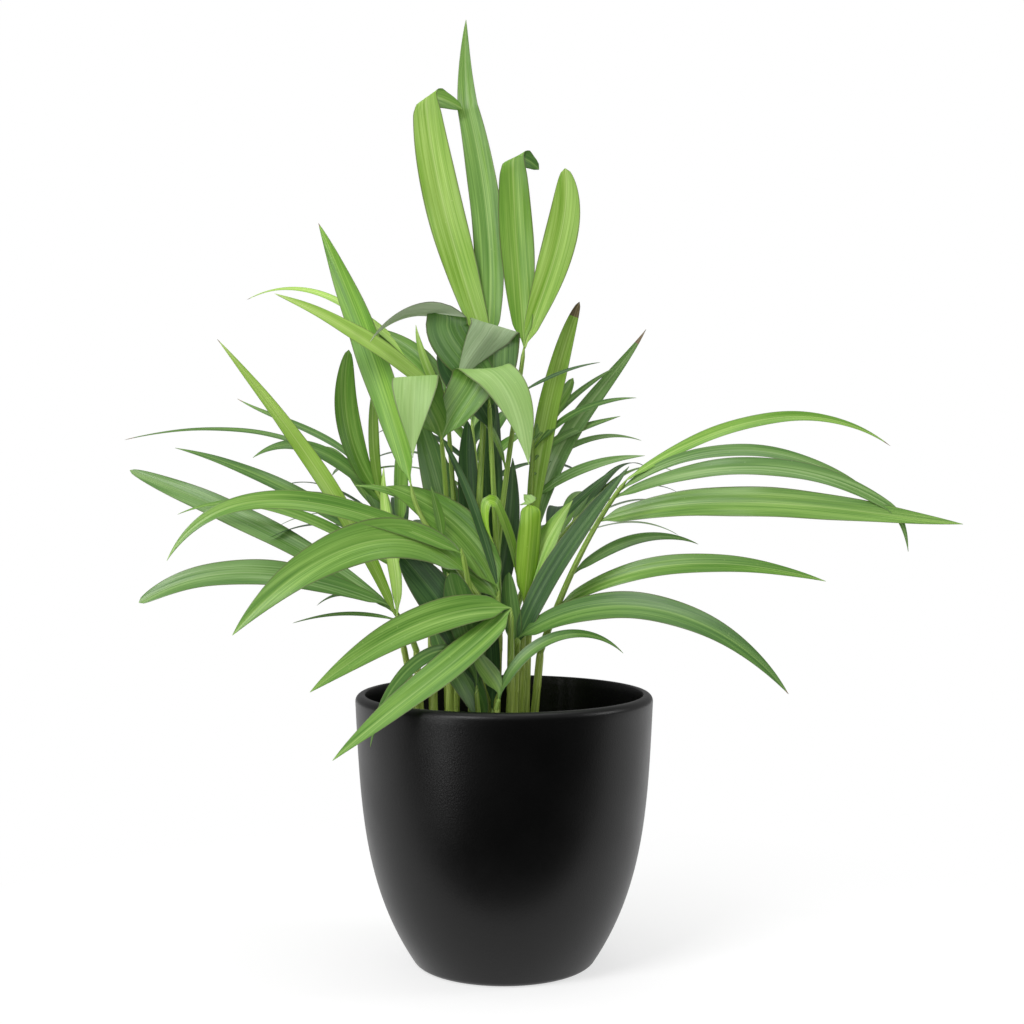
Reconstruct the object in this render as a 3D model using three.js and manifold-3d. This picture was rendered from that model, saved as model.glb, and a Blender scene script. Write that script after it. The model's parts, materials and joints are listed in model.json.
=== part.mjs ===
// Potted areca palm: a round tumbler pot, a soil fill, a clump of canes and the fronds they carry.
// Millimetres, +Z up, +X to the right and +Y away from the viewer.
// The origin is the centre of the flat underside of the pot.
import * as THREE from "three";
import Module from "manifold-3d";

const wasm = await Module();
wasm.setup();

// Pot
const POT_HEIGHT = 162;
const RIM_RADIUS = 89.8;
const DRAUGHT = 8;
const TUCK = 29;
const TUCK_POWER = 3.6;
const FOOT_ROUND = 3;
const WALL = 6;
const RIM_ROUND = 4.2;
const LIP_EDGE = 0.8;
const FLOOR = 9;
const SOIL_LEVEL = 117;
const SOIL_GAP = 0.3;
const POT_SIDES = 40;

// Plant
const JOINT_GAP = 0.3;
const CANE_SIDES = 8;
const STALK_SIDES = 5;
const BLADE_STEP = 17;
const BLADE_SHARE = 0.013;
const THINNEST = 0.9;
const KEEL = 0.16;
const FINEST = 0.06;
const FOLD_OVERLAP = 0.8;
const FOLD_INSET = 0.95;
const FOLD_REACH = 13;
const RAD = Math.PI / 180;

const vec = (p) => new THREE.Vector3(p[0], p[1], p[2]);

// Canes: foot on the soil, top, and the radius at each.
const CANES = {
  cane_far_left: { foot: [-46, 10], top: [-62, 12, 190], radius: [2.2, 1.9] },
  cane_left_rear: { foot: [-50, 34], top: [-55, 31, 184], radius: [2.3, 2] },
  cane_left: { foot: [-43, 22], top: [-45, 24, 196], radius: [2.8, 2.5] },
  cane_left_front: { foot: [-33, 2], top: [-33, 3, 200], radius: [2.5, 2.2] },
  cane_left_back: { foot: [-31, 16], top: [-28, 18, 205], radius: [2.3, 2.1] },
  cane_middle: { foot: [-20, 4], top: [-16, 6, 196], radius: [2.8, 2.5] },
  cane_middle_front: { foot: [-20, -20], top: [-18, -26, 190], radius: [2.4, 2.2] },
  cane_centre_back: { foot: [-6, 18], top: [-7, 14, 200], radius: [2.3, 2.1] },
  cane_centre: { foot: [-6, 4], top: [-3, 4, 198], radius: [2.4, 2.2] },
  cane_centre_low: { foot: [-11, -8], top: [-8, -10, 192], radius: [2.2, 2] },
  cane_centre_front: { foot: [-8, -20], top: [-6, -20, 196], radius: [2.4, 2.2] },
  cane_low_left: { foot: [-13, -31], top: [-14, -31, 140], radius: [1.9, 1.7] },
  cane_low_right: { foot: [-4, -29], top: [-6, -29, 140], radius: [1.9, 1.7] },
  cane_sucker: { foot: [-7, -36], top: [-4, -38, 158], radius: [1.8, 1.6] },
  cane_front: { foot: [4, -23], top: [4, -27, 176], radius: [2.6, 2.3] },
  cane_right_front: { foot: [4, -7], top: [7, -11, 186], radius: [2.8, 2.5] },
  cane_shoot: { foot: [8, 6], top: [11, 1, 200], radius: [2.3, 2.1] },
  cane_right: { foot: [15, 6], top: [22, 7, 186], radius: [2.5, 2.3] },
  cane_right_back: { foot: [12, 26], top: [15, 30, 200], radius: [2.4, 2.2] },
  cane_back_left: { foot: [-34, 36], top: [-37, 42, 200], radius: [2.6, 2.3] },
  cane_back: { foot: [-14, 36], top: [-12, 44, 205], radius: [2.6, 2.3] },
  cane_back_right: { foot: [2, 40], top: [6, 47, 200], radius: [2.6, 2.3] },
};

// A stalk or a blade runs in arcs. "to" is how far an arc carries it: right, back and up.
// "out" and "end" are the slopes in degrees at which the arc starts and arrives.
// A blade leaves its stalk at "at", a share of the stalk's length. "wide" is its full width,
// "roll" its turn about its own length at the root and at the tip, "form" its outline.
// A blade folds along the "crease" at the end of an arc. The arc after it may have a roll of its own.
const FRONDS = {
  frond_tall_left: {
    cane: "cane_middle",
    stalk: { to: [6, -2, 186], out: 92, end: 88 },
    thick: [2.5, 1.5],
    blades: [
      {
        at: 0.93,
        arcs: [
          { to: [-37, -4, 154], out: 72, end: 86, crease: [11.5, 0, 8] },
          { to: [22, 4, -8], out: -10, end: -30 },
        ],
        wide: 23,
        roll: [-90, -90],
        form: "strap",
      },
      {
        at: 0.95,
        arcs: [
          { to: [-12, 4, 144], out: 96, end: 76 },
          { to: [-1, 2, 54], out: 77, end: 98 },
        ],
        wide: 19.5,
        roll: [-90, -85],
        form: "sword",
      },
      {
        at: 0.02,
        arcs: [{ to: [-6, -1, 126], out: 92, end: 94 }],
        wide: 15,
        roll: [-80, -80],
        form: "blunt",
      },
    ],
  },
  frond_tall_right: {
    cane: "cane_centre_back",
    stalk: { to: [19, -18, 170], out: 88, end: 80 },
    thick: [2.1, 1.3],
    blades: [
      {
        at: 1,
        arcs: [
          { to: [-7, -2, 115], out: 86, end: 88, crease: [12.5, 0, 6] },
          { to: [16, 4, -8], out: -5, end: -45 },
        ],
        wide: 21.5,
        roll: [-90, -90],
        form: "strap",
      },
      {
        at: 0.99,
        arcs: [{ to: [25, 4, 110], out: 73, end: 98 }],
        wide: 20.5,
        roll: [90, 90],
        form: "paddle",
      },
      { at: 0.83, arcs: [{ to: [50, 4, 20], out: 34, end: 8 }], wide: 3.5, roll: [40, 40], form: "lance" },
      {
        at: 0.3,
        arcs: [{ to: [-2, 5, 88], out: 92, end: 88 }],
        wide: 13,
        roll: [-80, -80],
        form: "blunt",
      },
      {
        at: 0.02,
        arcs: [{ to: [-4, 3, 122], out: 88, end: 96 }],
        wide: 16,
        roll: [-80, -80],
        form: "lance",
      },
      {
        at: 0.02,
        arcs: [{ to: [12, 2, 100], out: 80, end: 92 }],
        wide: 14,
        roll: [80, 80],
        form: "lance",
      },
      {
        at: 0.55,
        arcs: [{ to: [-32, -14, 44], out: 78, end: 6 }],
        wide: 6,
        roll: [-60, -60],
        form: "lance",
      },
    ],
  },
  frond_folded_back: {
    cane: "cane_centre",
    stalk: { to: [-6, -15, 140], out: 88, end: 84 },
    thick: [2.2, 1.3],
    blades: [
      {
        at: 0.98,
        arcs: [
          { to: [-24, -3, 54], out: 100, end: 116, crease: [-24, 0, 4] },
          { to: [-46, -12, -18], out: 18, end: -58, roll: [16, 32] },
        ],
        wide: 26,
        roll: [90, 90],
        form: "lobe",
      },
      {
        at: 0.96,
        arcs: [
          { to: [4, 1, 52], out: 78, end: 84, crease: [29, 0, -8] },
          { to: [-24, -14, -40], out: -50, end: -68 },
        ],
        wide: 31,
        roll: [90, 90],
        form: "lobe",
      },
      {
        at: 0.84,
        arcs: [{ to: [-24, -4, 58], out: 100, end: 110 }],
        wide: 22,
        roll: [-70, -80],
        form: "paddle",
      },
    ],
  },
  frond_folded_front: {
    cane: "cane_left_front",
    stalk: { to: [-4, -30, 116], out: 98, end: 60 },
    thick: [2.2, 1.3],
    blades: [
      {
        at: 0.97,
        arcs: [
          { to: [-15, -4, 40], out: 84, end: 88, crease: [-27, 0, -1.5] },
          { to: [-1, -12, -50], out: -48, end: -88, roll: [0, 0] },
        ],
        wide: 29,
        roll: [90, 90],
        form: "lobe",
      },
      {
        at: 0.97,
        arcs: [
          { to: [22, -3, 43], out: 80, end: 72, crease: [29, 0, -2] },
          { to: [29, -22, -57], out: -10, end: -86, roll: [24, 80] },
        ],
        wide: 27,
        roll: [90, 80],
        form: "broad",
      },
    ],
  },
  frond_left_upright: {
    cane: "cane_centre_front",
    stalk: { to: [-49, -4, 92], out: 84, end: 84 },
    thick: [2.2, 1.3],
    blades: [
      {
        at: 1,
        arcs: [{ to: [-59.5, 44, 160], out: 71, end: 61 }],
        wide: 20.5,
        roll: [-80, -80],
        form: "lance",
      },
      {
        at: 0.6,
        arcs: [{ to: [-6, -3, 36], out: 100, end: 74 }],
        wide: 7,
        roll: [-80, -80],
        form: "lance",
      },
    ],
  },
  frond_left_high: {
    cane: "cane_left_back",
    stalk: { to: [-7, -10, 136], out: 90, end: 85 },
    thick: [2.1, 1.2],
    blades: [
      {
        at: 1,
        arcs: [{ to: [-130, 52, 64], out: 46, end: -24 }],
        wide: 5,
        roll: [-40, -40],
        form: "lance",
      },
      {
        at: 0.97,
        arcs: [{ to: [-96.5, -60, 60], out: 40, end: 16 }],
        wide: 16,
        roll: [-60, -50],
        form: "lance",
      },
      {
        at: 0.98,
        arcs: [{ to: [-53, 20, 47], out: 66, end: 22 }],
        wide: 17,
        roll: [-60, -50],
        form: "lance",
      },
      {
        at: 0.93,
        arcs: [{ to: [-19.5, 2, 53], out: 66, end: 84 }],
        wide: 6,
        roll: [-80, -80],
        form: "lance",
      },
      { at: 0.04, arcs: [{ to: [8, 8, 82], out: 88, end: 88 }], wide: 17, roll: [80, 80], form: "blunt" },
      {
        at: 0.02,
        arcs: [{ to: [-24, 4, 118], out: 90, end: 72 }],
        wide: 22,
        roll: [-80, -80],
        form: "blunt",
      },
    ],
  },
  frond_left_fan: {
    cane: "cane_left",
    stalk: { to: [-41, 2, 99], out: 80, end: 60 },
    thick: [2.5, 1.2],
    blades: [
      {
        at: 0.86,
        arcs: [{ to: [-17, -8, 88], out: 52, end: 100 }],
        wide: 17,
        roll: [-80, -80],
        form: "blunt",
      },
      {
        at: 0.8,
        arcs: [{ to: [-5, -4, 70], out: 74, end: 94 }],
        wide: 9.5,
        roll: [-80, -80],
        form: "blunt",
      },
      {
        at: 0.6,
        arcs: [{ to: [2, -3, 60], out: 80, end: 92 }],
        wide: 14,
        roll: [-80, -80],
        form: "blunt",
      },
      {
        at: 0.98,
        arcs: [{ to: [-88, 44, 49], out: 50, end: 26 }],
        wide: 5.5,
        roll: [-40, -40],
        form: "lance",
      },
      {
        at: 0.75,
        arcs: [{ to: [-82, -6, 32], out: 56, end: -38 }],
        wide: 11.5,
        roll: [-50, -50],
        form: "lance",
      },
      {
        at: 0.02,
        arcs: [{ to: [0, 5, 80], out: 90, end: 88 }],
        wide: 16,
        roll: [-80, -80],
        form: "blunt",
      },
      {
        at: 0.9,
        arcs: [{ to: [-166, 49, 30], out: 40, end: -12 }],
        wide: 5.5,
        roll: [-30, -30],
        form: "lance",
      },
      {
        at: 0.38,
        arcs: [{ to: [-157, 46, 75], out: 34, end: 11 }],
        wide: 10.5,
        roll: [-50, -50],
        form: "lance",
      },
      {
        at: 0.3,
        arcs: [{ to: [-151, 10, 41], out: 34, end: -24 }],
        wide: 8,
        roll: [-50, -50],
        form: "lance",
      },
    ],
  },
  frond_left_bright: {
    cane: "cane_far_left",
    stalk: { to: [-4, 1, 16], out: 78, end: 74 },
    thick: [1.9, 1.6],
    blades: [
      {
        at: 1,
        arcs: [{ to: [-103, -37, 167], out: 68, end: 49 }],
        wide: 12,
        roll: [-75, -75],
        form: "lance",
      },
      {
        at: 0.99,
        arcs: [{ to: [-8, 4, 92], out: 96, end: 96 }],
        wide: 9,
        roll: [-80, -80],
        form: "lance",
      },
    ],
  },
  frond_left_low: {
    cane: "cane_left_rear",
    stalk: { to: [-16, -5, 28], out: 72, end: 50 },
    thick: [2, 1.5],
    blades: [
      {
        at: 1,
        arcs: [{ to: [-152, -16, 3], out: 24, end: -34 }],
        wide: 18,
        roll: [-58, -55],
        form: "spoon",
      },
      {
        at: 0.8,
        arcs: [{ to: [-173, 33, 89], out: 38, end: 20 }],
        wide: 16.5,
        roll: [-60, -55],
        form: "paddle",
      },
      {
        at: 0.95,
        arcs: [{ to: [-48, 14, 0], out: 30, end: -42 }],
        wide: 6,
        roll: [-30, -30],
        form: "lance",
      },
      {
        at: 0.6,
        arcs: [{ to: [-70, 14, -2], out: 18, end: -18 }],
        wide: 4.5,
        roll: [-30, -30],
        form: "lance",
      },
    ],
  },
  frond_left_middle: {
    cane: "cane_middle_front",
    stalk: { to: [-7, -8, 60], out: 92, end: 70 },
    thick: [2.2, 1.5],
    blades: [
      {
        at: 0.75,
        arcs: [{ to: [-128, -54, -31], out: 50, end: -50 }],
        wide: 26,
        roll: [-65, -60],
        form: "early",
      },
      {
        at: 0.95,
        arcs: [{ to: [-164, -41, -2], out: 26, end: -62 }],
        wide: 13.5,
        roll: [-62, -60],
        form: "lance",
      },
    ],
  },
  frond_centre: {
    cane: "cane_centre_low",
    stalk: { to: [5, -2, 32], out: 80, end: 84 },
    thick: [2, 1.5],
    blades: [
      {
        at: 1,
        arcs: [{ to: [-68, -8, 62], out: 70, end: 14 }],
        wide: 26,
        roll: [-78, -64],
        form: "lance",
      },
      {
        at: 0.9,
        arcs: [{ to: [-86, -2, 66], out: 72, end: 2 }],
        wide: 11,
        roll: [-60, -50],
        form: "lance",
      },
      {
        at: 0.98,
        arcs: [{ to: [-38, 2, 98], out: 76, end: 58 }],
        wide: 6,
        roll: [-70, -70],
        form: "lance",
      },
      {
        at: 0.8,
        arcs: [{ to: [-36, -2, 25], out: 62, end: 18 }],
        wide: 15,
        roll: [-70, -70],
        form: "blunt",
      },
    ],
  },
  frond_front: {
    cane: "cane_front",
    stalk: { to: [0, -1, 39], out: 90, end: 88 },
    thick: [2.3, 1.7],
    blades: [
      {
        at: 1,
        arcs: [{ to: [-111, -57, -42], out: 8, end: -35 }],
        wide: 20,
        roll: [-60, -60],
        form: "early",
      },
      {
        at: 0.98,
        arcs: [{ to: [-96, -80, -75], out: -36, end: -34 }],
        wide: 19,
        roll: [-35, -35],
        form: "early",
      },
    ],
  },
  frond_right_front: {
    cane: "cane_right_front",
    stalk: { to: [1, -4, 10], out: 82, end: 80 },
    thick: [2.5, 2],
    blades: [
      {
        at: 0.5,
        arcs: [{ to: [66, -15, 107], out: 72, end: 50 }],
        wide: 14,
        roll: [75, 75],
        form: "sword",
      },
      {
        at: 0.98,
        arcs: [{ to: [151, -61, -25], out: 36, end: -52 }],
        wide: 18,
        roll: [55, 60],
        form: "early",
      },
    ],
  },
  new_shoot: {
    cane: "cane_shoot",
    stalk: { to: [1, -4, 15], out: 86, end: 86 },
    thick: [2.1, 1.8],
    blades: [
      {
        at: 1,
        arcs: [
          { to: [-16, -14, 61], out: 82, end: 60 },
          { to: [-2, -0.4, -24], out: 40, end: -120, roll: [-70, -10] },
        ],
        wide: 10.5,
        roll: [-70, -70],
        form: "lance",
      },
      {
        at: 0.98,
        arcs: [
          { to: [4, -10, 61], out: 86, end: 88, crease: [13, 0, 0] },
          { to: [-4, 9, 2], out: 0, end: -40 },
        ],
        wide: 15.5,
        roll: [0, 0],
        form: "blunt",
      },
      {
        at: 0.98,
        arcs: [{ to: [29, -5, 63], out: 78, end: 50 }],
        wide: 15,
        roll: [80, 80],
        form: "lance",
      },
    ],
  },
  frond_low_left: {
    cane: "cane_low_left",
    stalk: { to: [-2, -1, 30], out: 90, end: 92 },
    thick: [1.7, 1.4],
    blades: [
      {
        at: 0.9,
        arcs: [{ to: [-44, -5, 80], out: 84, end: 46 }],
        wide: 24,
        roll: [-80, -80],
        form: "paddle",
      },
      {
        at: 0.95,
        arcs: [{ to: [-15, -7, 68], out: 94, end: 74 }],
        wide: 23,
        roll: [-80, -80],
        form: "paddle",
      },
      {
        at: 1,
        arcs: [{ to: [-58, -48, -28], out: 78, end: -80 }],
        wide: 8,
        roll: [-60, -60],
        form: "lance",
      },
    ],
  },
  frond_low_right: {
    cane: "cane_low_right",
    stalk: { to: [-1, 0, 16], out: 90, end: 90 },
    thick: [1.7, 1.4],
    blades: [
      { at: 1, arcs: [{ to: [-3, 3, 66], out: 94, end: 88 }], wide: 13, roll: [-80, -80], form: "blunt" },
    ],
  },
  frond_sucker: {
    cane: "cane_sucker",
    stalk: { to: [1, 0, 5], out: 76, end: 76 },
    thick: [1.6, 1.4],
    blades: [
      { at: 0.9, arcs: [{ to: [73, 8, 26], out: 76, end: -46 }], wide: 7, roll: [50, 50], form: "early" },
      {
        at: 0.8,
        arcs: [{ to: [-13, -1, 34], out: 112, end: 106 }],
        wide: 11,
        roll: [-80, -80],
        form: "lance",
      },
    ],
  },
  frond_right: {
    cane: "cane_right",
    stalk: { to: [52, -7, 104], out: 70, end: 52 },
    thick: [2.3, 1.3],
    blades: [
      {
        at: 1,
        arcs: [{ to: [166, 30, 21], out: 34, end: -35 }],
        wide: 9.5,
        roll: [50, 50],
        form: "lance",
      },
      {
        at: 0.92,
        arcs: [{ to: [167, -6, -15], out: 39, end: -46 }],
        wide: 10,
        roll: [45, 50],
        form: "lance",
      },
      {
        at: 0.88,
        arcs: [
          { to: [158, -40, -4], out: 26, end: -34 },
          { to: [10, -4, -26], out: -38, end: -84 },
        ],
        wide: 13,
        roll: [50, 60],
        form: "lance",
      },
      {
        at: 0.74,
        arcs: [{ to: [206, -54, 0], out: 19, end: -7 }],
        wide: 19.5,
        roll: [65, 65],
        form: "lance",
      },
      {
        at: 0.24,
        arcs: [{ to: [158, -29, 18], out: 37, end: -16 }],
        wide: 13.5,
        roll: [60, 60],
        form: "lance",
      },
      {
        at: 0.42,
        arcs: [{ to: [81, 29, 18], out: 39, end: -24 }],
        wide: 8.5,
        roll: [45, 45],
        form: "lance",
      },
    ],
  },
  frond_right_back: {
    cane: "cane_right_back",
    stalk: { to: [3, -4, 115], out: 88, end: 86 },
    thick: [2.2, 1.2],
    blades: [
      {
        at: 0.5,
        arcs: [{ to: [30, -9, 142], out: 84, end: 68 }],
        wide: 15,
        roll: [80, 80],
        form: "strap",
      },
      { at: 0.97, arcs: [{ to: [25, 8, 42], out: 70, end: 64 }], wide: 10, roll: [70, 70], form: "blunt" },
      {
        at: 0.44,
        arcs: [
          { to: [17, 4, 54], out: 82, end: 64 },
          { to: [58, 34, 82], out: 61, end: 53 },
        ],
        wide: 13,
        roll: [75, 75],
        form: "early",
      },
      { at: 1, arcs: [{ to: [54, 26, 47], out: 50, end: 26 }], wide: 4.5, roll: [50, 50], form: "lance" },
      { at: 0.4, arcs: [{ to: [54, -8, 52], out: 50, end: 38 }], wide: 7, roll: [60, 60], form: "lance" },
      { at: 0.94, arcs: [{ to: [63, -14, 32], out: 56, end: 0 }], wide: 6, roll: [50, 50], form: "lance" },
      { at: 0.88, arcs: [{ to: [56, 24, 29], out: 50, end: 14 }], wide: 6, roll: [50, 50], form: "lance" },
      {
        at: 0.8,
        arcs: [{ to: [71, 41, 23], out: 44, end: -16 }],
        wide: 4.5,
        roll: [50, 50],
        form: "lance",
      },
      { at: 0.66, arcs: [{ to: [71, 6, 29], out: 47, end: 3 }], wide: 8, roll: [50, 50], form: "lance" },
    ],
  },
};

// The hidden side of the crown: stalks that lean back and carry a feather of leaflets.
const FEATHERS = {
  frond_back_left: {
    cane: "cane_back_left",
    stalk: { to: [-48, 36, 70], out: 80, end: 42 },
    thick: [2.3, 1.1],
    pairs: 4,
    from: 0.5,
    reach: 86,
    rise: 22,
    wide: 13,
    spread: [52, 16],
  },
  frond_back: {
    cane: "cane_back",
    stalk: { to: [-10, 46, 124], out: 88, end: 62 },
    thick: [2.3, 1.1],
    pairs: 5,
    from: 0.54,
    reach: 80,
    rise: 28,
    wide: 13,
    spread: [60, 16],
  },
  frond_back_right: {
    cane: "cane_back_right",
    stalk: { to: [44, 36, 68], out: 80, end: 42 },
    thick: [2.3, 1.1],
    pairs: 4,
    from: 0.51,
    reach: 86,
    rise: 22,
    wide: 13,
    spread: [52, 16],
  },
};

// A repeatable wobble between -1 and 1.
const wobble = (n) => 2 * (((Math.sin(n * 12.9898) * 43758.5453) % 1) + 1) % 2 - 1;

// Leaflets in pairs up a stalk, lowest widest apart, with one at the tip.
function feather(spec, seed) {
  const ahead = Math.atan2(spec.stalk.to[1], spec.stalk.to[0]) / RAD;
  const blades = [];
  const add = (u, swing, n) => {
    const heading = (ahead + swing + 6 * wobble(n)) * RAD;
    const reach = spec.reach * (1 - 0.35 * u * u) * (1 + 0.1 * wobble(n + 0.5));
    const rise = spec.rise * (0.5 + 0.9 * u) * (1 + 0.25 * wobble(n + 0.7));
    blades.push({
      at: spec.from + (1 - spec.from) * u,
      arcs: [
        {
          to: [reach * Math.cos(heading), reach * Math.sin(heading), rise],
          out: 44 + 8 * wobble(n + 0.2),
          end: -34 + 10 * wobble(n + 0.3),
        },
      ],
      wide: spec.wide * (1 - 0.25 * u),
      roll: [0, 0],
      form: "lance",
    });
  };
  for (let i = 0; i < spec.pairs; i++) {
    const u = i / spec.pairs;
    const swing = spec.spread[0] + (spec.spread[1] - spec.spread[0]) * u;
    add(u, swing, seed + i);
    add(u + 0.4 / spec.pairs, -swing, seed + i + 20);
  }
  add(1, 0, seed + 40);
  return { ...spec, blades };
}

// Outlines: the share of the width at the root, where the blade is widest, and how sharp its tip is.
const FORMS = {
  lance: { root: 0.35, peak: 0.42, sharp: 0.85 },
  strap: { root: 0.4, peak: 0.5, sharp: 0.5 },
  blunt: { root: 0.4, peak: 0.5, sharp: 0.5 },
  broad: { root: 0.35, peak: 0.4, sharp: 1 },
  lobe: { root: 0.35, peak: 0.42, sharp: 1.3 },
  sword: { root: 0.6, peak: 0.35, sharp: 0.8 },
  paddle: { root: 0.2, peak: 0.62, sharp: 0.5 },
  spoon: { root: 0.2, peak: 0.5, sharp: 0.42 },
  early: { root: 0.5, peak: 0.33, sharp: 0.85 },
};

function widthShare(form, u) {
  const { root, peak, sharp } = FORMS[form];
  if (u < peak) {
    return root + (1 - root) * Math.sin((Math.PI / 2) * (u / peak));
  }
  return Math.sin((Math.PI / 2) * ((1 - u) / (1 - peak))) ** sharp;
}

// One arc as a cubic curve whose handles are those of a circular arc of the same turn.
function arcCurve(from, arc) {
  const step = vec(arc.to);
  const heading = Math.atan2(step.y, step.x);
  const turn = Math.abs(arc.out - arc.end) * RAD;
  const share = turn < 0.01 ? 1 / 3 : ((2 / 3) * Math.tan(turn / 4)) / Math.sin(turn / 2);
  const handle = Math.min(share, 0.6) * step.length();
  const along = (slope) =>
    new THREE.Vector3(
      Math.cos(slope * RAD) * Math.cos(heading),
      Math.cos(slope * RAD) * Math.sin(heading),
      Math.sin(slope * RAD),
    ).multiplyScalar(handle);
  const to = from.clone().add(step);
  return new THREE.CubicBezierCurve3(
    from.clone(),
    from.clone().add(along(arc.out)),
    to.clone().sub(along(arc.end)),
    to,
  );
}

// The level direction square to a heading, which is a blade's width before it is rolled.
function levelSide(step) {
  const heading = Math.atan2(step.y, step.x);
  return new THREE.Vector3(Math.sin(heading), -Math.cos(heading), 0);
}

const squareTo = (side, along) =>
  side.clone().addScaledVector(along, -side.dot(along)).normalize();

// A closed skin over rings of points that all have the same count. With "alike", the two faces of a
// blade are cut along the same diagonals, so that they stay apart where the blade twists.
function skin(rings, alike = false) {
  const count = rings[0].length;
  const points = [];
  const faces = [];
  rings.forEach((ring) => ring.forEach((p) => points.push(p.x, p.y, p.z)));
  for (let i = 0; i + 1 < rings.length; i++) {
    for (let j = 0; j < count; j++) {
      const a = i * count + j;
      const b = i * count + ((j + 1) % count);
      if (alike && j >= count / 2) {
        faces.push(a, b, a + count, b, b + count, a + count);
      } else {
        faces.push(a, b, b + count, a, b + count, a + count);
      }
    }
  }
  const last = (rings.length - 1) * count;
  for (let j = 1; j + 1 < count; j++) {
    faces.push(0, j + 1, j);
    faces.push(last, last + j, last + j + 1);
  }
  return new wasm.Manifold(
    new wasm.Mesh({
      numProp: 3,
      vertProperties: new Float32Array(points),
      triVerts: new Uint32Array(faces),
    }),
  );
}

// A round rod along a curve.
function rod(curve, radii, sides, steps) {
  const rings = [];
  let side = new THREE.Vector3(1, 0, 0);
  for (let i = 0; i <= steps; i++) {
    const u = i / steps;
    const centre = curve.getPoint(u);
    const along = curve.getTangent(u);
    side = squareTo(side, along);
    const other = along.clone().cross(side);
    if (i === 0) {
      // The foot is cut level, clear of the cane below it.
      side.set(1, 0, 0);
      other.set(0, 1, 0);
    }
    const radius = radii[0] + (radii[1] - radii[0]) * u;
    const ring = [];
    for (let j = 0; j < sides; j++) {
      const turn = (2 * Math.PI * j) / sides;
      ring.push(
        centre
          .clone()
          .addScaledVector(side, radius * Math.cos(turn))
          .addScaledVector(other, radius * Math.sin(turn)),
      );
    }
    rings.push(ring);
  }
  return skin(rings);
}

// One thin blade: a flat diamond section swept along its arcs, folded where two arcs meet.
function blade(root, spec) {
  const curves = [];
  let from = root;
  for (const arc of spec.arcs) {
    curves.push(arcCurve(from, arc));
    from = from.clone().add(vec(arc.to));
  }
  const lengths = curves.map((c) => c.getLength());
  const total = lengths.reduce((a, b) => a + b, 0);
  const thick = Math.max(THINNEST, BLADE_SHARE * total);
  const solids = [];
  let side = levelSide(vec(spec.arcs[0].to));
  let done = 0;
  curves.forEach((curve, k) => {
    const own = spec.arcs[k].roll;
    if (own) {
      side = levelSide(vec(spec.arcs[k].to));
    }
    const before = k > 0 ? spec.arcs[k - 1].crease : null;
    const after = spec.arcs[k].crease;
    const rings = ringPlaces(lengths[k], before, after).map((t, i) => {
      const u = (done + lengths[k] * t) / total;
      const centre = curve.getPointAt(t);
      const along = curve.getTangentAt(t);
      side = squareTo(side, along);
      const roll = own ? own[0] + (own[1] - own[0]) * t : spec.roll[0] + (spec.roll[1] - spec.roll[0]) * u;
      const across = side.clone().applyAxisAngle(along, roll * RAD);
      let half = Math.max(0.5 * spec.wide * widthShare(spec.form, u), 0.35);
      const folds = [
        [before, lengths[k] * t, FOLD_INSET],
        [after, lengths[k] * (1 - t), 1],
      ];
      let flat = 0;
      for (const [crease, away, inset] of folds) {
        if (crease && away < FOLD_REACH) {
          flat = blendShare(1 - away / FOLD_REACH);
          const line = vec(crease);
          half += (inset * line.length() * 0.5 - half) * flat;
          if (line.dot(across) < 0) {
            line.negate();
          }
          across.lerp(line.normalize(), flat).normalize();
        }
      }
      const up = squareTo(across.clone().cross(along), along);
      const depth = Math.min(thick / 2, half * 0.7);
      const sag = KEEL * half * (1 - flat);
      if (i === 0 && k > 0) {
        centre.addScaledVector(along, -FOLD_OVERLAP);
      }
      return [
        centre.clone().addScaledVector(across, -half),
        centre.clone().addScaledVector(up, depth - sag),
        centre.clone().addScaledVector(across, half),
        centre.clone().addScaledVector(up, -depth - sag),
      ];
    });
    if (k + 1 < curves.length) {
      const next = curves[k + 1].getTangentAt(0);
      if (curve.getTangentAt(1).dot(next) < 0.5) {
        side = foldedSide(side, curve.getTangentAt(1), next, spec, (done + lengths[k]) / total);
      }
    }
    done += lengths[k];
    solids.push(skin(rings, true));
  });
  return solids.length > 1 ? wasm.Manifold.union(solids) : solids[0];
}

// Where the rings of an arc stand, as shares of its length: closer together next to a fold.
function ringPlaces(length, before, after) {
  const steps = Math.max(3, Math.ceil(length / BLADE_STEP));
  const places = [];
  for (let i = 0; i <= steps; i++) {
    places.push(i / steps);
  }
  const near = [FOLD_REACH / 3, (2 * FOLD_REACH) / 3].map((d) => d / length);
  if (before) {
    places.push(...near);
  }
  if (after) {
    places.push(...near.map((t) => 1 - t));
  }
  places.sort((a, b) => a - b);
  return places.filter((t, i) => i === 0 || t === 1 || (t - places[i - 1]) * length > 1.5);
}

// An even start and end to a blend from 0 to 1.
const blendShare = (t) => t * t * (3 - 2 * t);

// The width direction after a fold: the crease halves the turn, and each edge stays on its own side.
function foldedSide(side, before, after, spec, u) {
  const roll = (spec.roll[0] + (spec.roll[1] - spec.roll[0]) * u) * RAD;
  const across = squareTo(side, before).applyAxisAngle(before, roll);
  const crease = before.clone().add(after);
  const line = crease.length() < 0.2 ? across.clone() : crease.normalize();
  if (line.dot(across) < 0) {
    line.negate();
  }
  const turned = squareTo(line, after);
  return turned.applyAxisAngle(after, -roll);
}

function frond(spec) {
  const cane = CANES[spec.cane];
  const foot = vec(cane.top).add(new THREE.Vector3(0, 0, JOINT_GAP));
  const curve = arcCurve(foot, spec.stalk);
  const steps = Math.max(2, Math.ceil(curve.getLength() / 22));
  const parts = [rod(curve, spec.thick, STALK_SIDES, steps)];
  for (const one of spec.blades) {
    parts.push(blade(curve.getPointAt(one.at), one));
  }
  return largest(wasm.Manifold.union(parts).simplify(FINEST));
}

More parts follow.
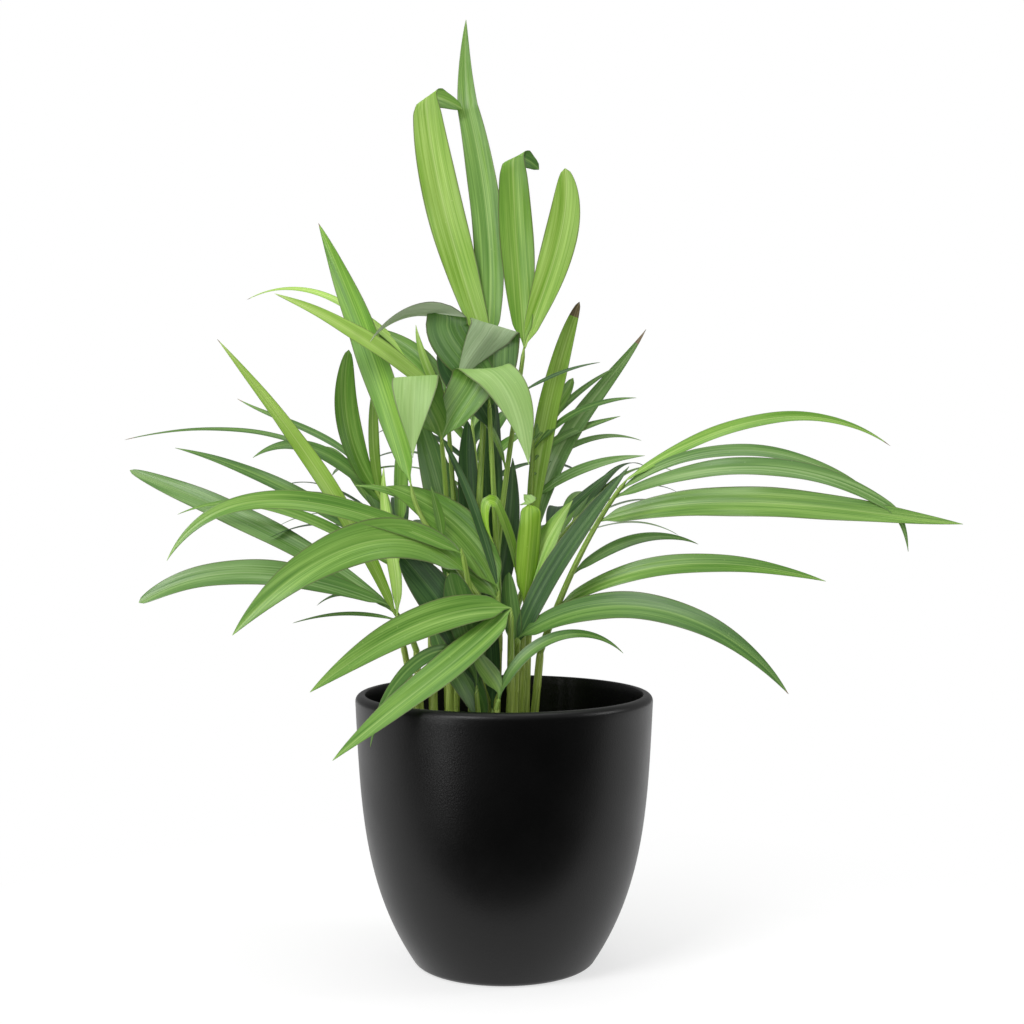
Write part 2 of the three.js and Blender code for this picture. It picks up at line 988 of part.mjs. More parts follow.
// The main body of a union, without the slivers that a fold can leave inside it.
function largest(solid) {
  return solid.decompose().reduce((a, b) => (b.volume() > a.volume() ? b : a));
}

function cane(spec) {
  const foot = new THREE.Vector3(spec.foot[0], spec.foot[1], SOIL_LEVEL + JOINT_GAP);
  const top = vec(spec.top);
  const rings = [0, 0.5, 1].map((u) => {
    const centre = foot.clone().lerp(top, u);
    const radius = spec.radius[0] + (spec.radius[1] - spec.radius[0]) * u;
    const ring = [];
    for (let j = 0; j < CANE_SIDES; j++) {
      const turn = (2 * Math.PI * (j + 0.5)) / CANE_SIDES;
      ring.push(
        new THREE.Vector3(centre.x + radius * Math.cos(turn), centre.y + radius * Math.sin(turn), centre.z),
      );
    }
    return ring;
  });
  return skin(rings);
}

// The pot's outer wall: a slight draught all the way down, and a tuck towards the foot.
function outerRadius(z) {
  const drop = Math.min(1, Math.max(0, (POT_HEIGHT - z) / POT_HEIGHT));
  return RIM_RADIUS - DRAUGHT * drop - TUCK * drop ** TUCK_POWER;
}

function potProfile() {
  const profile = [[0, 0]];
  for (let i = 0; i < 3; i++) {
    const turn = (i / 3) * (Math.PI / 2);
    const z = FOOT_ROUND * (1 - Math.cos(turn));
    profile.push([outerRadius(z) - FOOT_ROUND * (1 - Math.sin(turn)), z]);
  }
  const shoulder = POT_HEIGHT - RIM_ROUND;
  for (let i = 0; i <= 8; i++) {
    const z = FOOT_ROUND + (shoulder - FOOT_ROUND) * (i / 8);
    profile.push([outerRadius(z), z]);
  }
  for (let i = 1; i <= 3; i++) {
    const turn = (i / 3) * (Math.PI / 2);
    const back = RIM_ROUND * (1 - Math.cos(turn));
    profile.push([outerRadius(shoulder) - back, shoulder + RIM_ROUND * Math.sin(turn)]);
  }
  profile.push([outerRadius(POT_HEIGHT) - WALL + LIP_EDGE, POT_HEIGHT]);
  for (let i = 7; i >= 0; i--) {
    const z = FLOOR + (POT_HEIGHT - LIP_EDGE - FLOOR) * (i / 7);
    profile.push([outerRadius(z) - WALL, z]);
  }
  profile.push([0, FLOOR]);
  return profile;
}

function turned(profile) {
  const points = profile.map(([r, z]) => new THREE.Vector2(r, z));
  const g = new THREE.LatheGeometry(points, POT_SIDES);
  g.rotateX(Math.PI / 2);
  return g;
}

function meshOf(name, solid, colour) {
  const out = solid.getMesh();
  const count = out.numProp;
  const positions = new Float32Array(out.numVert * 3);
  for (let i = 0; i < out.numVert; i++) {
    positions.set(out.vertProperties.subarray(i * count, i * count + 3), i * 3);
  }
  const g = new THREE.BufferGeometry()
    .setAttribute("position", new THREE.BufferAttribute(positions, 3))
    .setIndex(new THREE.BufferAttribute(out.triVerts, 1));
  return named(name, g, colour);
}

function named(name, g, colour) {
  const mesh = new THREE.Mesh(g, new THREE.MeshStandardMaterial({ color: colour }));
  mesh.name = name;
  return mesh;
}

const palm = new THREE.Group();

palm.add(named("pot", turned(potProfile()), 0x1c1c1e));
const soilWall = (z) => outerRadius(z) - WALL - SOIL_GAP;
const soil = [[0, FLOOR + SOIL_GAP]];
for (let i = 0; i <= 6; i++) {
  const z = FLOOR + SOIL_GAP + (SOIL_LEVEL - FLOOR - SOIL_GAP) * (i / 6);
  soil.push([soilWall(z) - 0.4, z]);
}
soil.push([0, SOIL_LEVEL]);
palm.add(named("soil", turned(soil), 0x2e2118));
for (const [name, spec] of Object.entries(CANES)) {
  palm.add(meshOf(name, cane(spec), 0x7f9a4a));
}
for (const [name, spec] of Object.entries(FRONDS)) {
  palm.add(meshOf(name, frond(spec), 0x5d8f3a));
}
Object.entries(FEATHERS).forEach(([name, spec], i) => {
  palm.add(meshOf(name, frond(feather(spec, 7 * (i + 1))), 0x4b7a34));
});

export default palm;
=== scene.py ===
"""Potted areca palm: the finish of a young palm with pleated leaves in a round black planter.

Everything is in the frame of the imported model, in metres. The plant's own sizes are in millimetres.
"""
import bpy
import json
import math
import numpy as np
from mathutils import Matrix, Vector

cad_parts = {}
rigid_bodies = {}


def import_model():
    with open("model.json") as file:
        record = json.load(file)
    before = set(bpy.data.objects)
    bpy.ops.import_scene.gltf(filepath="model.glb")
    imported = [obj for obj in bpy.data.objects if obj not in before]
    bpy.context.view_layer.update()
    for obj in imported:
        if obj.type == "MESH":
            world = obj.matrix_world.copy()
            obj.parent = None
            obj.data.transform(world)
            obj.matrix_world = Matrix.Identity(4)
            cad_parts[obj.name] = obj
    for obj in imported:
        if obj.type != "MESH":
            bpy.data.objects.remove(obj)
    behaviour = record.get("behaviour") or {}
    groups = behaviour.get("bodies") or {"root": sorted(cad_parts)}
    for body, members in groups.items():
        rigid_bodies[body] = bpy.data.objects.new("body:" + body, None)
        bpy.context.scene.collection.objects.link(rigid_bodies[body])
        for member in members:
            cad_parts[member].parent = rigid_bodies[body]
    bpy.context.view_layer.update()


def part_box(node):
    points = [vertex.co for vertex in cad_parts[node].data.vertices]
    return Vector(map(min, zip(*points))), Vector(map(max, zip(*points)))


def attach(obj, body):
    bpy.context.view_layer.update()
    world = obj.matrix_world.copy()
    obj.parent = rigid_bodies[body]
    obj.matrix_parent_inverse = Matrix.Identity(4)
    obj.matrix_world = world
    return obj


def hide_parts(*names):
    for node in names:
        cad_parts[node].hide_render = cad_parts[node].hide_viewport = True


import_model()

MM = 0.001

# Camera, from the ellipses of the pot's rim and foot: its place in millimetres, its lens and its shift
CAMERA_SIDE = 4.7
CAMERA_DISTANCE = 1000
CAMERA_HEIGHT = 295
CAMERA_LENS = 58.2
CAMERA_SHIFT = -0.039

# Pot and soil, repeated from the source of the solids
POT_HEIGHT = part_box("pot")[1].z / MM
RIM_RADIUS = 89.8
DRAUGHT = 8
TUCK = 29
TUCK_POWER = 3.6
FOOT_ROUND = 3
WALL = 6
RIM_ROUND = 4.2
LIP_EDGE = 0.8
FLOOR = 9
SOIL_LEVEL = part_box("soil")[1].z / MM
SOIL_GAP = 0.3
JOINT_GAP = 0.3

# Steps round and along the pot's profile
POT_SIDES = 192
FOOT_STEPS = 11
WALL_STEPS = 44
RIM_STEPS = 8
LIP_STEPS = 7
INNER_STEPS = 29

# Loose soil, in millimetres: its grid, how far it lies below the solid's top, and how uneven it is
SOIL_RINGS = 26
SOIL_SIDES = 96
SOIL_DEEP = 20
SOIL_MIDDLE = 2
SOIL_FALL = 1.6
SOIL_LEAST_FALL = 0.2
SOIL_DIP = 0.99
DIP_LENGTHS = (7, 11)
SOIL_ROUGH = 0.7
SOIL_SEED = 5

# Bits pressed into the soil: how many, their sizes in millimetres from and to, how narrow they are against
# their length, and their finish
SOIL_BITS = (
    (900, 0.8, 2.4, 0.8, 1),
    (160, 2.0, 4.5, 0.4, 2),
    (90, 0.8, 1.7, 0.9, 3),
)
BIT_SUNK = 1.2
BIT_INSET = 4
BIT_ROUGH = (0.75, 1.2)

# Leaf blades. The keel, the pleats' depth and the edge wave are shares of the half width, lengths are in
# millimetres, and the wave's lag from edge to edge and its phase are angles in radians.
KEEL = 0.16
LEAF_THICK = 0.34
ROW_STEP = 2.4
PLEAT_WIDTH = 4.4
PLEAT_COLUMNS = 4
PLEAT_DEPTH = 0.045
EDGE_WAVE = 0.05
WAVE_LENGTH = 9.0
WAVE_LAG = 1.3
WAVE_PHASE = 6.3
WAVE_GROWTH = 4
FLAT_BELOW = 3
NARROWEST = 0.15
ROOT_REACH = 16.0
ROOT_LEAD = 1.5
ROOT_HALF = 0.5
ROOT_EASE = 2.0
UPPER_SIDE = np.array([0.0, -0.8, 0.6])

# Folds: how far one presses the leaf flat, how many rows it rounds and how often, and the cosine of the
# turn that makes one
FOLD_REACH = 13
FOLD_ROWS = 2
FOLD_SOFTEN = 3
FOLD_COSINE = 0.5

# Leaflets of the feather fronds: how they change towards the tip, and how far each strays from the rule
LEAFLET_SHORTER = 0.35
LEAFLET_NARROWER = 0.25
LEAFLET_RISE = (0.5, 0.9)
LEAFLET_SLOPES = (44, -34)
LEAFLET_TONES = ("deep", "shade", "mid")
PAIR_LAG = 0.4
STRAY_HEADING = 6
STRAY_REACH = 0.1
STRAY_RISE = 0.25
STRAY_SLOPES = (8, 10)

# Stalks and canes
CURVE_STEPS = 240
FEWEST_STEPS = 6
LONGEST_HANDLE = 0.6
STALK_SIDES = 12
STALK_STEP = 6
STALK_SUNK = 1.5
STALK_TIP = 0.35
CANE_SIDES = 20
CANE_STEP = 1.2
CANE_SUNK = 4.0
CANE_RIPPLE = 0.015
CANE_CLOSE = 0.12
CLOSE_REACH = 5
NODE_SPACING = 26
NODE_STRAY = 0.15
SCAR_WIDTH = 0.9
SCAR_SWELL = 0.05
SHEATH_SWELL = 0.06
BASE_SWELL = 0.14
BASE_REACH = 9

# Outlines: the share of the width at the root, where a leaf is widest, and how sharp its tip is
FORMS = {
    "lance": (0.35, 0.42, 0.85),
    "strap": (0.4, 0.5, 0.5),
    "blunt": (0.4, 0.5, 0.5),
    "broad": (0.35, 0.4, 1),
    "lobe": (0.35, 0.42, 1.3),
    "sword": (0.6, 0.35, 0.8),
    "paddle": (0.2, 0.62, 0.5),
    "spoon": (0.2, 0.5, 0.42),
    "early": (0.5, 0.33, 0.85),
}


def arc(to, out, end, crease=None, roll=None):
    """One arc of a stalk or leaf: how far it goes, in millimetres, and its slope at each end, in degrees.

    It may end in a crease, given as the line across the leaf, and may have its own roll at each end.
    """
    return {"to": to, "out": out, "end": end, "crease": crease, "roll": roll}


def leaf(at, *arcs, wide, roll, form="lance", tone="mid", tip=None):
    """One leaf: the share of the stalk that it leaves at, its arcs, width, roll, outline and tone.

    A pair of rolls is for the root and the tip, a pair of tones for the upper and the under side. A tip is
    the share of the length that it starts at, and its tone.
    """
    return {"at": at, "arcs": arcs, "wide": wide, "roll": roll, "form": form, "tone": tone, "tip": tip}


def frond(cane, stalk, thick, leaves):
    """One frond: the cane that carries it, its stalk, the stalk's radius at both ends, and its leaves."""
    return {"cane": cane, "stalk": stalk, "thick": thick, "leaves": leaves}


def wobble(n):
    """A repeatable wobble between -1 and 1."""
    return math.fmod(2 * (math.fmod(math.sin(n * 12.9898) * 43758.5453, 1) + 1), 2) - 1


def feather(cane, stalk, thick, pairs, start, reach, rise, wide, spread, seed):
    """Leaflets in pairs up a stalk that leans back, lowest widest apart, with one at the tip.

    They start at a share of the stalk. Reach, rise and width are those of the lowest leaflet, and the spread
    is how far the lowest and the highest pair swing off the stalk, in degrees.
    """
    ahead = math.degrees(math.atan2(stalk["to"][1], stalk["to"][0]))
    leaves = []

    def add_leaflet(u, swing, n):
        heading = math.radians(ahead + swing + STRAY_HEADING * wobble(n))
        far = reach * (1 - LEAFLET_SHORTER * u * u) * (1 + STRAY_REACH * wobble(n + 0.5))
        up = rise * (LEAFLET_RISE[0] + LEAFLET_RISE[1] * u) * (1 + STRAY_RISE * wobble(n + 0.7))
        to = (far * math.cos(heading), far * math.sin(heading), up)
        out = LEAFLET_SLOPES[0] + STRAY_SLOPES[0] * wobble(n + 0.2)
        end = LEAFLET_SLOPES[1] + STRAY_SLOPES[1] * wobble(n + 0.3)
        at = start + (1 - start) * u
        width = wide * (1 - LEAFLET_NARROWER * u)
        tone = LEAFLET_TONES[int(n) % len(LEAFLET_TONES)]
        leaves.append(leaf(at, arc(to, out, end), wide=width, roll=(0, 0), tone=tone))

    for i in range(pairs):
        u = i / pairs
        swing = spread[0] + (spread[1] - spread[0]) * u
        add_leaflet(u, swing, seed + i)
        add_leaflet(u + PAIR_LAG / pairs, -swing, seed + i + 20)
    add_leaflet(1, 0, seed + 40)
    return frond(cane, stalk, thick, leaves)


# Canes: the foot on the soil, the top, and the radius at both
CANES = {
    "cane_far_left": ((-46, 10), (-62, 12, 190), (2.2, 1.9)),
    "cane_left_rear": ((-50, 34), (-55, 31, 184), (2.3, 2)),
    "cane_left": ((-43, 22), (-45, 24, 196), (2.8, 2.5)),
    "cane_left_front": ((-33, 2), (-33, 3, 200), (2.5, 2.2)),
    "cane_left_back": ((-31, 16), (-28, 18, 205), (2.3, 2.1)),
    "cane_middle": ((-20, 4), (-16, 6, 196), (2.8, 2.5)),
    "cane_middle_front": ((-20, -20), (-18, -26, 190), (2.4, 2.2)),
    "cane_centre_back": ((-6, 18), (-7, 14, 200), (2.3, 2.1)),
    "cane_centre": ((-6, 4), (-3, 4, 198), (2.4, 2.2)),
    "cane_centre_low": ((-11, -8), (-8, -10, 192), (2.2, 2)),
    "cane_centre_front": ((-8, -20), (-6, -20, 196), (2.4, 2.2)),
    "cane_low_left": ((-13, -31), (-14, -31, 140), (1.9, 1.7)),
    "cane_low_right": ((-4, -29), (-6, -29, 140), (1.9, 1.7)),
    "cane_sucker": ((-7, -36), (-4, -38, 158), (1.8, 1.6)),
    "cane_front": ((4, -23), (4, -27, 176), (2.6, 2.3)),
    "cane_right_front": ((4, -7), (7, -11, 186), (2.8, 2.5)),
    "cane_shoot": ((8, 6), (11, 1, 200), (2.3, 2.1)),
    "cane_right": ((15, 6), (22, 7, 186), (2.5, 2.3)),
    "cane_right_back": ((12, 26), (15, 30, 200), (2.4, 2.2)),
    "cane_back_left": ((-34, 36), (-37, 42, 200), (2.6, 2.3)),
    "cane_back": ((-14, 36), (-12, 44, 205), (2.6, 2.3)),
    "cane_back_right": ((2, 40), (6, 47, 200), (2.6, 2.3)),
}

# Fronds that the photo shows. Each leaf's arcs start at its share of the stalk.
FRONDS = {
    "frond_tall_left": frond("cane_middle", arc((6, -2, 186), 92, 88), (2.5, 1.5), [
        leaf(0.93, arc((-37, -4, 154), 72, 86, crease=(11.5, 0, 8)),
             arc((22, 4, -8), -10, -30),
             wide=23, roll=(-90, -90), form="strap", tone=("bright", "mid")),
        leaf(0.95, arc((-12, 4, 144), 96, 76),
             arc((-1, 2, 54), 77, 98),
             wide=19.5, roll=(-90, -85), form="sword", tone="mid"),
        leaf(0.02, arc((-6, -1, 126), 92, 94), wide=15, roll=(-80, -80), form="blunt", tone="shade"),
    ]),
    "frond_tall_right": frond("cane_centre_back", arc((19, -18, 170), 88, 80), (2.1, 1.3), [
        leaf(1, arc((-7, -2, 115), 86, 88, crease=(12.5, 0, 6)),
             arc((16, 4, -8), -5, -45),
             wide=21.5, roll=(-90, -90), form="strap", tone=("fresh", "deep")),
        leaf(0.99, arc((25, 4, 110), 73, 98), wide=20.5, roll=(90, 90), form="paddle", tone="bright"),
        leaf(0.83, arc((50, 4, 20), 34, 8), wide=3.5, roll=(40, 40), form="lance", tone="shade"),
        leaf(0.3, arc((-2, 5, 88), 92, 88), wide=13, roll=(-80, -80), form="blunt", tone="shade"),
        leaf(0.02, arc((-4, 3, 122), 88, 96), wide=16, roll=(-80, -80), form="lance", tone="shade"),
        leaf(0.02, arc((12, 2, 100), 80, 92), wide=14, roll=(80, 80), form="lance", tone="shade"),
        leaf(0.55, arc((-32, -14, 44), 78, 6), wide=6, roll=(-60, -60), form="lance", tone="mid"),
    ]),
    "frond_folded_back": frond("cane_centre", arc((-6, -15, 140), 88, 84), (2.2, 1.3), [
        # the flap past the fold carries a pale tone that is painted light
        leaf(0.98, arc((-24, -3, 54), 100, 116, crease=(-24, 0, 4)),
             arc((-46, -12, -18), 18, -58, roll=(16, 32)),
             wide=26, roll=(90, 90), form="lobe", tone="deep", tip=(0.53, "silver")),
        leaf(0.96, arc((4, 1, 52), 78, 84, crease=(29, 0, -8)),
             arc((-24, -14, -40), -50, -68),
             wide=31, roll=(90, 90), form="lobe", tone="deep", tip=(0.5, "pale")),
        leaf(0.84, arc((-24, -4, 58), 100, 110), wide=22, roll=(-70, -80), form="paddle", tone="shade"),
    ]),
    "frond_folded_front": frond("cane_left_front", arc((-4, -30, 116), 98, 60), (2.2, 1.3), [
        leaf(0.97, arc((-15, -4, 40), 84, 88, crease=(-27, 0, -1.5)),
             arc((-1, -12, -50), -48, -88, roll=(0, 0)),
             wide=29, roll=(90, 90), form="lobe", tone=("mid", "soft")),
        leaf(0.97, arc((22, -3, 43), 80, 72, crease=(29, 0, -2)),
             arc((29, -22, -57), -10, -86, roll=(24, 80)),
             wide=27, roll=(90, 80), form="broad", tone=("mid", "soft")),
    ]),
    "frond_left_upright": frond("cane_centre_front", arc((-49, -4, 92), 84, 84), (2.2, 1.3), [
        leaf(1, arc((-59.5, 44, 160), 71, 61),
             wide=20.5, roll=(-80, -80), form="lance", tone="olive", tip=(0.975, "brown")),
        leaf(0.6, arc((-6, -3, 36), 100, 74), wide=7, roll=(-80, -80), form="lance", tone="mid"),
    ]),
    "frond_left_high": frond("cane_left_back", arc((-7, -10, 136), 90, 85), (2.1, 1.2), [
        leaf(1, arc((-130, 52, 64), 46, -24),
             wide=6.5, roll=(-40, -40), form="lance", tone="vivid", tip=(0.975, "brown")),
        leaf(0.97, arc((-96.5, -60, 60), 40, 16), wide=16, roll=(-60, -50), form="lance", tone="vivid"),
        leaf(0.98, arc((-53, 20, 47), 66, 22), wide=17, roll=(-60, -50), form="lance", tone="mid"),
        leaf(0.93, arc((-19.5, 2, 53), 66, 84), wide=6, roll=(-80, -80), form="lance", tone="bright"),
        leaf(0.04, arc((8, 8, 82), 88, 88), wide=17, roll=(80, 80), form="blunt", tone="deep"),
        leaf(0.02, arc((-24, 4, 118), 90, 72), wide=22, roll=(-80, -80), form="blunt", tone="deep"),
    ]),
    "frond_left_fan": frond("cane_left", arc((-41, 2, 99), 80, 60), (2.5, 1.2), [
        leaf(0.86, arc((-17, -8, 88), 52, 100), wide=17, roll=(-80, -80), form="blunt", tone="mid"),
        leaf(0.8, arc((-5, -4, 70), 74, 94), wide=9.5, roll=(-80, -80), form="blunt", tone="bright"),
        leaf(0.6, arc((2, -3, 60), 80, 92), wide=14, roll=(-80, -80), form="blunt", tone="mid"),
        leaf(0.98, arc((-88, 44, 49), 50, 26),
             wide=5.5, roll=(-40, -40), form="lance", tone="deep", tip=(0.94, "brown")),
        leaf(0.75, arc((-82, -6, 32), 56, -38), wide=11.5, roll=(-50, -50), form="lance", tone="deep"),
        leaf(0.02, arc((0, 5, 80), 90, 88), wide=16, roll=(-80, -80), form="blunt", tone="shade"),
        leaf(0.9, arc((-166, 49, 30), 40, -12),
             wide=5.5, roll=(-30, -30), form="lance", tone="deep", tip=(0.95, "brown")),
        leaf(0.38, arc((-157, 46, 75), 34, 11), wide=10.5, roll=(-50, -50), form="lance", tone="deep"),
        leaf(0.3, arc((-151, 10, 41), 34, -24), wide=8, roll=(-50, -50), form="lance", tone="mid"),
    ]),
    "frond_left_bright": frond("cane_far_left", arc((-4, 1, 16), 78, 74), (1.9, 1.6), [
        leaf(1, arc((-103, -37, 167), 68, 49),
             wide=12, roll=(-75, -75), form="lance", tone="vivid", tip=(0.98, "brown")),
        leaf(0.99, arc((-8, 4, 92), 96, 96), wide=9, roll=(-80, -80), form="lance", tone="vivid"),
    ]),
    "frond_left_low": frond("cane_left_rear", arc((-16, -5, 28), 72, 50), (2, 1.5), [
        leaf(1, arc((-152, -16, 3), 24, -34), wide=18, roll=(-58, -55), form="spoon", tone="grey"),
        leaf(0.8, arc((-173, 33, 89), 38, 20), wide=16.5, roll=(-60, -55), form="paddle", tone="grey"),
        leaf(0.95, arc((-48, 14, 0), 30, -42), wide=6, roll=(-30, -30), form="lance", tone="deep"),
        leaf(0.6, arc((-70, 14, -2), 18, -18), wide=4.5, roll=(-30, -30), form="lance", tone="deep"),
    ]),
    "frond_left_middle": frond("cane_middle_front", arc((-7, -8, 60), 92, 70), (2.2, 1.5), [
        leaf(0.75, arc((-128, -54, -31), 50, -50), wide=26, roll=(-65, -60), form="early", tone="mid"),
        leaf(0.95, arc((-164, -41, -2), 26, -62), wide=13.5, roll=(-62, -60), form="lance", tone="mid"),
    ]),
    "frond_centre": frond("cane_centre_low", arc((5, -2, 32), 80, 84), (2, 1.5), [
        leaf(1, arc((-68, -8, 62), 70, 14), wide=26, roll=(-78, -64), form="lance", tone="mid"),
        leaf(0.9, arc((-86, -2, 66), 72, 2), wide=11, roll=(-60, -50), form="lance", tone="mid"),
        leaf(0.98, arc((-38, 2, 98), 76, 58), wide=6, roll=(-70, -70), form="lance", tone="shade"),
        leaf(0.8, arc((-36, -2, 25), 62, 18), wide=15, roll=(-70, -70), form="blunt", tone="mid"),
    ]),
    "frond_front": frond("cane_front", arc((0, -1, 39), 90, 88), (2.3, 1.7), [
        leaf(1, arc((-111, -57, -42), 8, -35), wide=20, roll=(-60, -60), form="early", tone="mid"),
        leaf(0.98, arc((-96, -80, -75), -36, -34), wide=19, roll=(-35, -35), form="early", tone="mid"),
    ]),
    "frond_right_front": frond("cane_right_front", arc((1, -4, 10), 82, 80), (2.5, 2), [
        leaf(0.05, arc((-4, 5, 48), 84, 98), wide=15, roll=(-80, -80), form="blunt", tone="deep"),
        leaf(0.5, arc((66, -15, 107), 72, 50), wide=14, roll=(75, 75), form="sword", tone="shade"),
        leaf(0.98, arc((151, -61, -25), 36, -52),
             wide=18, roll=(55, 60), form="early", tone="deep", tip=(0.985, "brown")),
    ]),
    "new_shoot": frond("cane_shoot", arc((1, -4, 15), 86, 86), (2.1, 1.8), [
        leaf(1, arc((-16, -14, 61), 82, 60),
             arc((-2, -0.4, -24), 40, -120, roll=(-70, -10)),
             wide=10.5, roll=(-70, -70), form="lance", tone=("shoot", "lime")),
        leaf(0.98, arc((4, -10, 61), 86, 88, crease=(13, 0, 0)),
             arc((-4, 9, 2), 0, -40),
             wide=15.5, roll=(0, 0), form="blunt", tone=("shoot", "soft")),
        leaf(0.98, arc((29, -5, 63), 78, 50), wide=15, roll=(80, 80), form="lance", tone="fresh"),
    ]),
    "frond_low_left": frond("cane_low_left", arc((-2, -1, 30), 90, 92), (1.7, 1.4), [
        leaf(0.05, arc((-24, 8, 72), 104, 96), wide=20, roll=(-80, -80), form="paddle", tone="deep"),
        leaf(0.9, arc((-44, -5, 80), 84, 46), wide=24, roll=(-80, -80), form="paddle", tone="shade"),
        leaf(0.95, arc((-15, -7, 68), 94, 74), wide=23, roll=(-80, -80), form="paddle", tone="deep"),
        leaf(1, arc((-58, -48, -28), 78, -80), wide=8, roll=(-60, -60), form="lance", tone="deep"),
    ]),
    "frond_low_right": frond("cane_low_right", arc((-1, 0, 16), 90, 90), (1.7, 1.4), [
        leaf(1, arc((-3, 3, 66), 94, 88), wide=13, roll=(-80, -80), form="blunt", tone="shade"),
    ]),
    "frond_sucker": frond("cane_sucker", arc((1, 0, 5), 76, 76), (1.6, 1.4), [
        leaf(0.9, arc((73, 8, 26), 76, -46), wide=8, roll=(50, 50), form="early", tone="deep"),
        leaf(0.8, arc((-13, -1, 34), 112, 106), wide=11, roll=(-80, -80), form="lance", tone="mid"),
    ]),
    "frond_right": frond("cane_right", arc((52, -7, 104), 70, 52), (2.3, 1.3), [
        leaf(1, arc((166, 30, 21), 34, -35),
             wide=9.5, roll=(50, 50), form="lance", tone="fresh", tip=(0.965, "brown")),
        leaf(0.92, arc((167, -6, -15), 39, -46), wide=10, roll=(45, 50), form="lance", tone="grey"),
        leaf(0.88, arc((158, -40, -4), 26, -34),
             arc((10, -4, -26), -38, -84),
             wide=13, roll=(50, 60), form="lance", tone="grey"),
        leaf(0.74, arc((206, -54, 0), 19, -7), wide=19.5, roll=(65, 65), form="lance", tone="mid"),
        leaf(0.24, arc((158, -29, 18), 37, -16), wide=13.5, roll=(60, 60), form="lance", tone="mid"),
        leaf(0.42, arc((81, 29, 18), 39, -24), wide=8.5, roll=(45, 45), form="lance", tone="deep"),
    ]),
    "frond_right_back": frond("cane_right_back", arc((3, -4, 115), 88, 86), (2.2, 1.2), [
        leaf(0.5, arc((30, -9, 142), 84, 68),
             wide=15, roll=(80, 80), form="strap", tone="bright", tip=(0.93, "brown")),
        leaf(0.97, arc((25, 8, 42), 70, 64), wide=10, roll=(70, 70), form="blunt", tone="mid"),
        leaf(0.44, arc((17, 4, 54), 82, 64),
             arc((58, 34, 82), 61, 53),
             wide=13, roll=(75, 75), form="early", tone="grey", tip=(0.92, "brown")),
        leaf(1, arc((54, 26, 47), 50, 26), wide=4.5, roll=(50, 50), form="lance", tone="deep"),
        leaf(0.4, arc((54, -8, 52), 50, 38), wide=7, roll=(60, 60), form="lance", tone="shade"),
        leaf(0.94, arc((63, -14, 32), 56, 0), wide=6, roll=(50, 50), form="lance", tone="deep"),
        leaf(0.88, arc((56, 24, 29), 50, 14), wide=6, roll=(50, 50), form="lance", tone="deep"),
        leaf(0.8, arc((71, 41, 23), 44, -16), wide=4.5, roll=(50, 50), form="lance", tone="grey"),
        leaf(0.66, arc((71, 6, 29), 47, 3), wide=8, roll=(50, 50), form="lance", tone="grey"),
    ]),
}

# Fronds behind the plant, which the photo doesn't show
FEATHERS = {
    "frond_back_left": feather("cane_back_left", arc((-48, 36, 70), 80, 42), (2.3, 1.1), pairs=4, start=0.5,
        reach=86, rise=22, wide=13, spread=(52, 16), seed=7),
    "frond_back": feather("cane_back", arc((-10, 46, 124), 88, 62), (2.3, 1.1), pairs=5, start=0.54,
        reach=80, rise=28, wide=13, spread=(60, 16), seed=14),
    "frond_back_right": feather("cane_back_right", arc((44, 36, 68), 80, 42), (2.3, 1.1), pairs=4, start=0.51,
        reach=86, rise=22, wide=13, spread=(52, 16), seed=21),
}


# Shapes: curves, tubes and pleated sheets, in millimetres


def unit(v):
    """A direction of length one."""
    return v / max(float(np.linalg.norm(v)), 1e-9)


def square_to(side, along):
    """The part of a direction that is square to another."""
    return unit(side - along * float(np.dot(side, along)))


def turned(v, axis, degrees):
    """A direction turned about an axis."""
    angle = math.radians(degrees)
    level = axis * float(np.dot(v, axis)) * (1 - math.cos(angle))
    return v * math.cos(angle) + np.cross(axis, v) * math.sin(angle) + level


def level_side(step):
    """The level direction square to a heading, which is a leaf's width before it is rolled."""
    heading = math.atan2(step[1], step[0])
    return np.array([math.sin(heading), -math.cos(heading), 0.0])


def soft_step(t):
    """A smooth step from 0 to 1, for a number or an array."""
    t = np.clip(t, 0, 1)
    return t * t * (3 - 2 * t)


def curve_of(start, step):
    """One arc as four points of a cubic curve whose handles are those of a circular arc of the same turn."""
    to = np.array(step["to"], float)
    heading = math.atan2(to[1], to[0])
    turn = math.radians(abs(step["out"] - step["end"]))
    share = 1 / 3 if turn < 0.01 else (2 / 3) * math.tan(turn / 4) / math.sin(turn / 2)
    handle = min(share, LONGEST_HANDLE) * float(np.linalg.norm(to))

    def way(slope):
        slope = math.radians(slope)
        flat = math.cos(slope)
        return handle * np.array([flat * math.cos(heading), flat * math.sin(heading), math.sin(slope)])

    end = start + to
    return np.array([start, start + way(step["out"]), end - way(step["end"]), end])


def along_curve(curve, shares):
    """Places and directions at shares of a curve's length, and that length."""
    def places(t):
        t = np.asarray(t, float)[:, None]
        s = 1 - t
        return s ** 3 * curve[0] + 3 * s * s * t * curve[1] + 3 * s * t * t * curve[2] + t ** 3 * curve[3]

    def slopes(t):
        t = np.asarray(t, float)[:, None]
        s = 1 - t
        first, second, third = (curve[i + 1] - curve[i] for i in range(3))
        return s * s * first + 2 * s * t * second + t * t * third

    fine = np.linspace(0, 1, CURVE_STEPS + 1)
    steps = np.linalg.norm(np.diff(places(fine), axis=0), axis=1)
    run = np.concatenate([[0], np.cumsum(steps)])
    at = np.interp(np.asarray(shares, float) * run[-1], run, fine)
    ways = slopes(at)
    return places(at), ways / np.linalg.norm(ways, axis=1)[:, None], float(run[-1])


def width_share(form, u):
    """How wide a leaf is at a share of its length, against its full width."""
    root, peak, sharp = FORMS[form]
    if u < peak:
        return root + (1 - root) * math.sin((math.pi / 2) * (u / peak))
    return math.sin((math.pi / 2) * ((1 - u) / (1 - peak))) ** sharp


